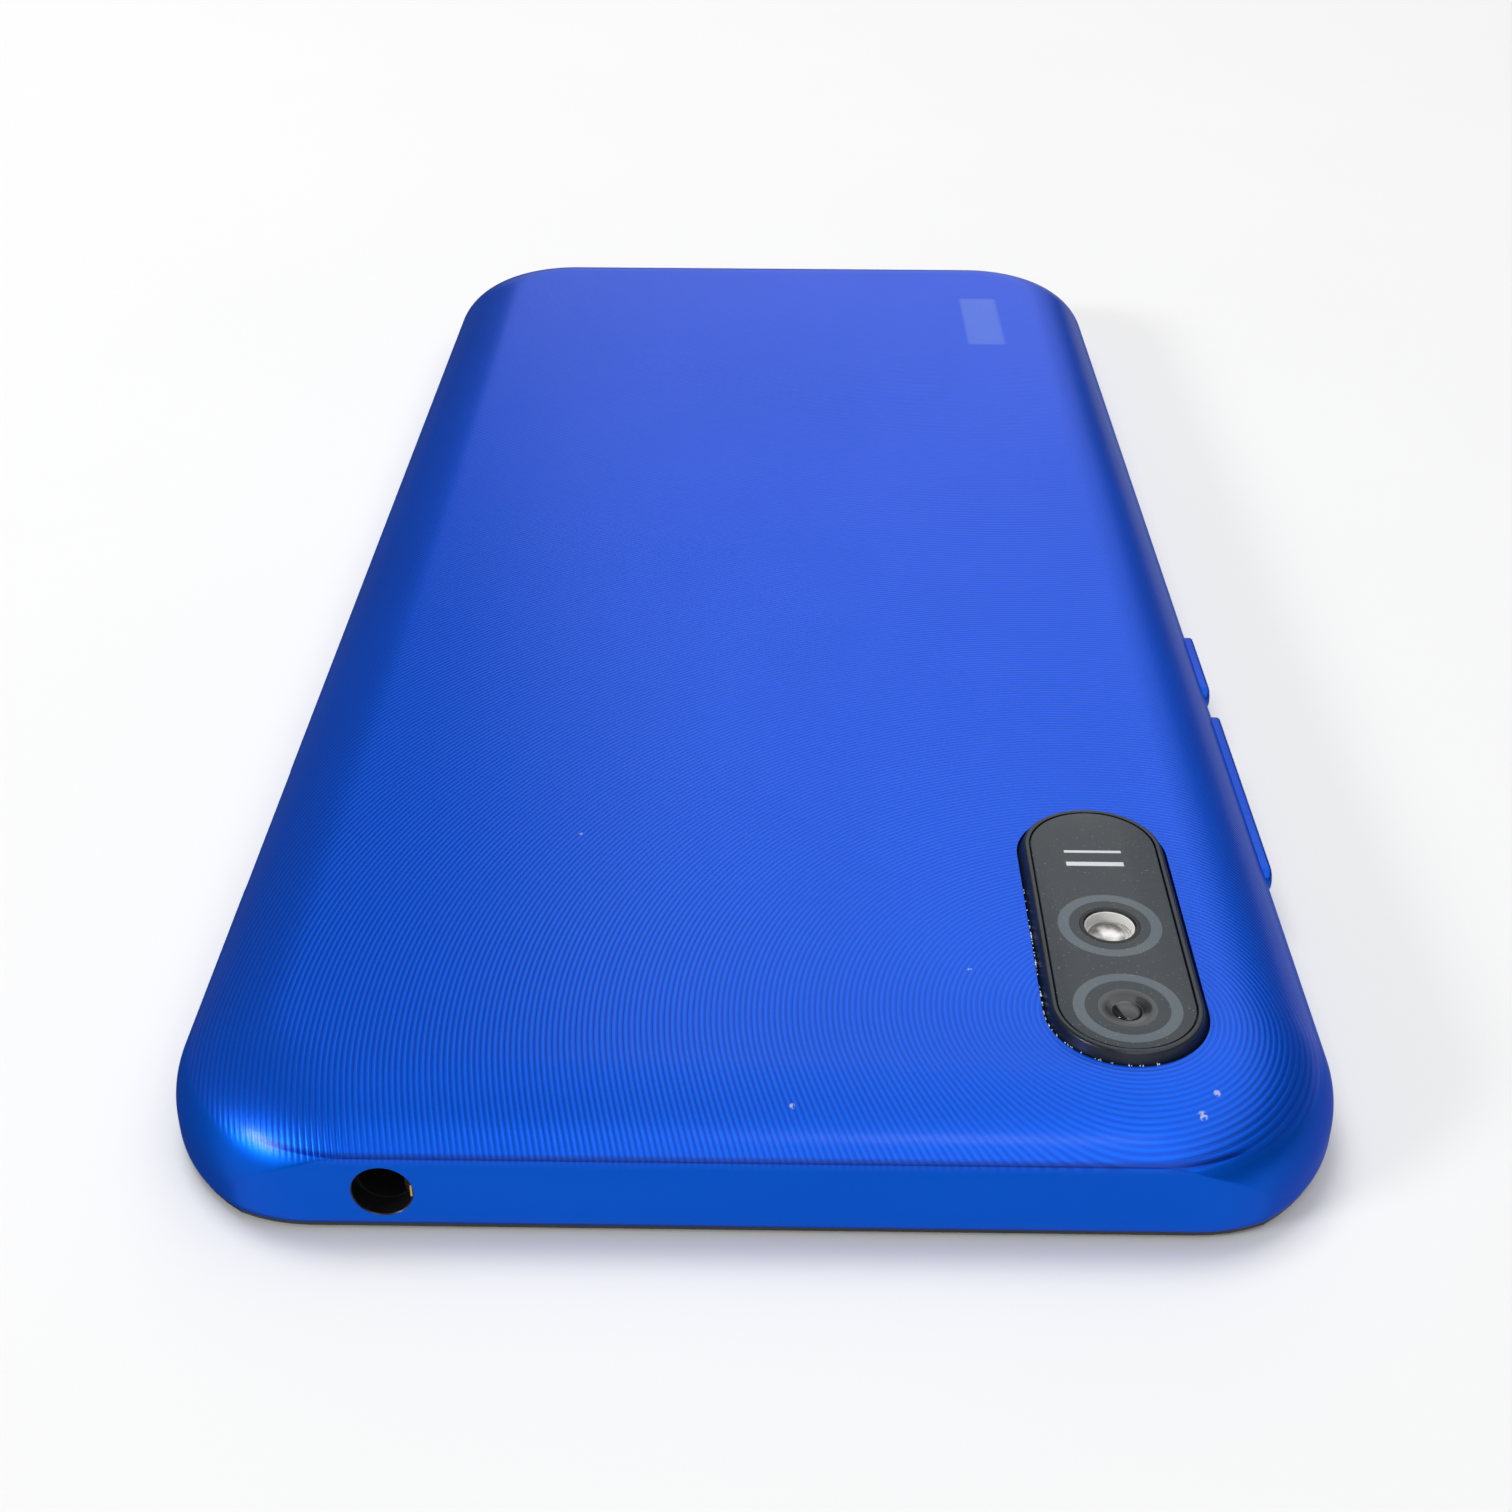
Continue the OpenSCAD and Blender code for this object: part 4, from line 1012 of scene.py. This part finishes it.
# For each slot: colour, its spread, roughness, its spread, grain in mm and depth of relief in mm
SLOT_GRAINS = {
    "black_plastic": ((0.012, 0.012, 0.014), 0.2, 0.42, 0.08, 0.25, 0.004),
    "dark_plastic": ((0.035, 0.035, 0.04), 0.2, 0.5, 0.08, 0.2, 0.004),
    "foam": ((0.02, 0.02, 0.022), 0.3, 0.9, 0.05, 0.25, 0.03),
    "led_phosphor": ((0.85, 0.75, 0.28), 0.1, 0.5, 0.1, 0.1, 0.003),
    "polyimide": ((0.42, 0.17, 0.04), 0.2, 0.3, 0.08, 0.3, 0.003),
    "steel_sheet": ((0.6, 0.61, 0.62), 0.08, 0.32, 0.08, 0.2, 0.002),
    "plate_metal": ((0.48, 0.49, 0.5), 0.1, 0.4, 0.1, 0.3, 0.003),
    "panel_black": ((0.008, 0.009, 0.011), 0.2, 0.12, 0.05, 0.4, 0.001),
    "adhesive": ((0.015, 0.015, 0.016), 0.2, 0.8, 0.1, 0.2, 0.006),
    "white_adhesive": ((0.7, 0.7, 0.68), 0.08, 0.75, 0.1, 0.3, 0.006),
    "lens_black": ((0.006, 0.006, 0.009), 0.2, 0.15, 0.05, 0.2, 0.001),
    "chip_black": ((0.022, 0.022, 0.024), 0.2, 0.55, 0.1, 0.12, 0.003),
    "thermal_grey": ((0.3, 0.35, 0.42), 0.1, 0.7, 0.1, 0.3, 0.01),
    "gold_plate": ((0.78, 0.55, 0.22), 0.1, 0.28, 0.08, 0.15, 0.001),
    "battery_wrap": ((0.045, 0.046, 0.05), 0.2, 0.35, 0.1, 1.2, 0.03),
    "coax_black": ((0.02, 0.02, 0.022), 0.2, 0.5, 0.1, 0.15, 0.005),
    "tongue_white": ((0.05, 0.05, 0.052), 0.1, 0.4, 0.08, 0.15, 0.002),
    "screw_steel": ((0.18, 0.18, 0.19), 0.1, 0.35, 0.1, 0.1, 0.002),
    "weight_metal": ((0.36, 0.37, 0.38), 0.1, 0.38, 0.1, 0.12, 0.002),
    "clear_lens": ((0.8, 0.82, 0.8), 0.05, 0.1, 0.05, 0.3, 0.001),
    "front_glass": ((0.005, 0.005, 0.006), 0.1, 0.08, 0.04, 2.0, 0.0005),
    "island_trim": ((0.01, 0.014, 0.02), 0.2, 0.2, 0.05, 0.3, 0.001),
    "island_plate": ((0.045, 0.055, 0.062), 0.1, 0.3, 0.05, 0.6, 0.001),
}

# What a slot has beyond that: the grain drawn out along an axis, metal or a clear coat
SLOT_EXTRAS = {
    "polyimide": {"along": (1, 6, 1), "Coat_Weight": 0.5},
    "steel_sheet": {"along": (1, 14, 1), "Metallic": 1.0},
    "plate_metal": {"along": (8, 1, 1), "Metallic": 1.0},
    "panel_black": {"Coat_Weight": 1.0},
    "lens_black": {"Coat_Weight": 1.0},
    "gold_plate": {"Metallic": 1.0},
    "battery_wrap": {"Coat_Weight": 0.3},
    "screw_steel": {"Metallic": 1.0},
    "weight_metal": {"Metallic": 1.0},
    "front_glass": {"Coat_Weight": 1.0},
}


def finish_nodes():
    """Gives every CAD node that still shows the procedural finish of its slot."""
    cover = bpy.context.scene.phone_cover
    keys = bpy.context.scene.phone_keys
    made = {
        "cover_blue": paint_plain("blue_plain_paint", tuple(cover.band_blue), cover),
        "key_blue": paint_plain("blue_tray_paint", tuple(keys.blue), cover),
        "board_green": board_finish().material,
        "mesh_black": woven_finish("acoustic_mesh", (0.03, 0.03, 0.032), 0.22 * MM).material,
    }
    for node, piece in sorted(NODES.items()):
        slot = NODE_SLOT[node]
        if slot not in made:
            base, spread, rough, rough_spread, grain, depth = SLOT_GRAINS[slot]
            finish = grained(slot + "_finish", base, spread, rough, rough_spread, grain * MM, depth * MM,
                             **SLOT_EXTRAS.get(slot, {}))
            made[slot] = finish.material
        if not piece.material_slots:
            piece.data.materials.append(made[slot])
        for place in piece.material_slots:
            place.material = made[slot]


# --- Stage ----------------------------------------------------------------------------------------


def look_at(piece, target):
    """Turns a light so that it shines at a point."""
    direction = Vector(target) - piece.location
    piece.rotation_euler = direction.to_track_quat("-Z", "Y").to_euler()


def add_softbox(name, place, size, power, target=(0, 0, 0), tint=(1, 1, 1)):
    lamp = bpy.data.lights.new(name, "AREA")
    lamp.shape = "RECTANGLE"
    lamp.size, lamp.size_y = size
    lamp.energy = power
    lamp.color = tint
    piece = bpy.data.objects.new(name, lamp)
    piece.location = place
    bpy.context.scene.collection.objects.link(piece)
    look_at(piece, target)
    return piece


# Brightness stops of the room: by height, by x * (z + 0.35) on the left, by x * (1 - z) on the right,
# and below the horizon by length and by side
ROOM_BY_HEIGHT = ((0.0, 0.6), (0.3, 0.9), (0.42, 0.75), (0.55, 1.1), (0.7, 1.3), (0.87, 1.15), (1.0, 1.0))
ROOM_BY_LEFT = ((-0.5, 0.12), (-0.14, 0.08), (-0.07, 0.9), (0.0, 1.0))
ROOM_BY_RIGHT = ((0.0, 1.0), (0.12, 1.0), (0.2, 0.6), (0.34, 0.05), (1.0, 0.08))
BELOW_BY_LENGTH = ((-1.0, 0.7), (-0.3, 0.7), (0.0, 0.08), (1.0, 0.08))
BELOW_BY_SIDE = ((-1.0, 0.06), (0.0, 0.06), (0.15, 0.42), (1.0, 0.42))
CAMERA_TURN = (1.018, -0.003, 0.014)
FLOOR_HALF = 4.0
FLOOR_Z = -0.03 * MM


def light_room(stage):
    """A soft studio room: height stops * left stops * right stops above the horizon, a table below."""
    world = bpy.data.worlds.new("room")
    world.use_nodes = True
    bpy.context.scene.world = world
    room = NodeTree(world.node_tree, "Generated")
    x, y, z = room.xyz()
    above = room.ramp(z, -0.01, 0.01)
    left = room.stops(room.calc("MULTIPLY", x, room.calc("ADD", z, 0.35)), ROOM_BY_LEFT)
    right = room.stops(room.calc("MULTIPLY", x, room.calc("SUBTRACT", 1.0, z)), ROOM_BY_RIGHT)
    upper = room.calc("MULTIPLY", room.stops(z, ROOM_BY_HEIGHT), room.calc("MULTIPLY", left, right))
    lower = room.calc("MAXIMUM", room.stops(y, BELOW_BY_LENGTH), room.stops(x, BELOW_BY_SIDE))
    room.feed(world.node_tree.nodes["Background"].inputs["Color"], room.blend(above, lower, upper))
    world.node_tree.nodes["Background"].inputs["Strength"].default_value = stage.sky


def add_stage():
    stage = bpy.context.scene.phone_stage
    scene = bpy.context.scene
    camera = bpy.data.objects.new("camera", bpy.data.cameras.new("camera"))
    camera.location = (stage.camera_x, stage.camera_y, stage.camera_z)
    camera.rotation_euler = CAMERA_TURN
    camera.data.sensor_width = 36.0
    camera.data.lens = stage.focal
    camera.data.clip_start = 0.005
    camera.data.clip_end = 50.0
    scene.collection.objects.link(camera)
    scene.camera = camera
    scene.view_settings.view_transform = "Standard"

    white = Finish("floor_white", Specular_IOR_Level=0.0)
    white.colour(white.blend(white.noise(60 * MM), (0.73, 0.73, 0.73), (0.75, 0.75, 0.75)))
    white.set("Emission Color", (1.0, 1.0, 1.0))
    white.set("Emission Strength", 0.05)
    white.roughness(0.9)
    mesh = bpy.data.meshes.new("floor")
    corner = np.array([[-1, -1], [1, -1], [1, 1], [-1, 1]]) * FLOOR_HALF
    mesh.from_pydata(np.column_stack([corner, np.full(4, FLOOR_Z)]).tolist(), [], [[0, 1, 2, 3]])
    mesh.materials.append(white.material)
    floor = bpy.data.objects.new("floor", mesh)
    scene.collection.objects.link(floor)
    floor.visible_glossy = False

    light_room(stage)
    key = add_softbox("ceiling_softbox", (-0.35, 0.45, 1.5), (0.8, 0.8), stage.key_power)
    key.visible_glossy = False
    add_softbox("window_softbox", (-1.25, -0.66, 0.60), (0.42, 0.24), stage.window_power)
    add_softbox("near_softbox", (0.1, -1.25, 0.85), (1.2, 0.22), stage.near_power)
    add_softbox("glint_softbox", (0.12, -0.6, 1.1), (0.2, 0.12), 0.5 * stage.near_power)


# --- Operators and panel --------------------------------------------------------------------------


class PHONE_OT_stage(bpy.types.Operator):
    """Add the floor, the lights and the camera"""

    bl_idname = "phone.stage"
    bl_label = "Stage"

    def execute(self, context):
        add_stage()
        return {"FINISHED"}


class PHONE_OT_nodes(bpy.types.Operator):
    """Finish every carried-over CAD part"""

    bl_idname = "phone.nodes"
    bl_label = "Inner parts"

    def execute(self, context):
        finish_nodes()
        return {"FINISHED"}


class PHONE_OT_cover(bpy.types.Operator):
    """Build the rear cover with its openings and grooved paint"""

    bl_idname = "phone.cover"
    bl_label = "Rear cover"

    def execute(self, context):
        add_cover()
        return {"FINISHED"}


class PHONE_OT_island(bpy.types.Operator):
    """Build the camera island: trim, printed plate, lens window and dust"""

    bl_idname = "phone.island"
    bl_label = "Camera island"

    def execute(self, context):
        add_island()
        return {"FINISHED"}


class PHONE_OT_optics(bpy.types.Operator):
    """Build the lens barrel and the flash"""

    bl_idname = "phone.optics"
    bl_label = "Lens and flash"

    def execute(self, context):
        add_optics()
        return {"FINISHED"}


class PHONE_OT_keys(bpy.types.Operator):
    """Build the power key and the volume rocker"""

    bl_idname = "phone.keys"
    bl_label = "Side keys"

    def execute(self, context):
        add_keys()
        return {"FINISHED"}


class PHONE_OT_front(bpy.types.Operator):
    """Build the front glass"""

    bl_idname = "phone.front"
    bl_label = "Front glass"

    def execute(self, context):
        add_front()
        return {"FINISHED"}


class PHONE_OT_jack(bpy.types.Operator):
    """Build the sprung contacts seen in the headphone socket"""

    bl_idname = "phone.jack"
    bl_label = "Socket contacts"

    def execute(self, context):
        add_jack_leaf()
        return {"FINISHED"}


OPERATORS = (PHONE_OT_stage, PHONE_OT_nodes, PHONE_OT_cover, PHONE_OT_island, PHONE_OT_optics,
             PHONE_OT_keys, PHONE_OT_front, PHONE_OT_jack)


class PHONE_PT_panel(bpy.types.Panel):
    """Lists the phone's pieces and their settings"""

    bl_label = "Phone"
    bl_idname = "PHONE_PT_panel"
    bl_space_type = "VIEW_3D"
    bl_region_type = "UI"
    bl_category = "Phone"

    def draw(self, context):
        for operator in OPERATORS:
            self.layout.operator(operator.bl_idname)
        for name in GROUPS:
            box = self.layout.box()
            settings = getattr(context.scene, name)
            for field in settings.bl_rna.properties:
                if not field.is_readonly and field.identifier != "name":
                    box.prop(settings, field.identifier)


GROUPS = {
    "phone_cover": PHONE_PG_cover,
    "phone_island": PHONE_PG_island,
    "phone_keys": PHONE_PG_keys,
    "phone_front": PHONE_PG_front,
    "phone_stage": PHONE_PG_stage,
}


def register():
    for group in GROUPS.values():
        bpy.utils.register_class(group)
    for operator in OPERATORS:
        bpy.utils.register_class(operator)
    bpy.utils.register_class(PHONE_PT_panel)
    for name, group in GROUPS.items():
        setattr(bpy.types.Scene, name, PointerProperty(type=group))


def unregister():
    for name in GROUPS:
        delattr(bpy.types.Scene, name)
    bpy.utils.unregister_class(PHONE_PT_panel)
    for operator in OPERATORS:
        bpy.utils.unregister_class(operator)
    for group in GROUPS.values():
        bpy.utils.unregister_class(group)


def main():
    register()
    for operator in OPERATORS:
        group, name = operator.bl_idname.split(".")
        getattr(getattr(bpy.ops, group), name)()


if __name__ == "__main__":
    main()
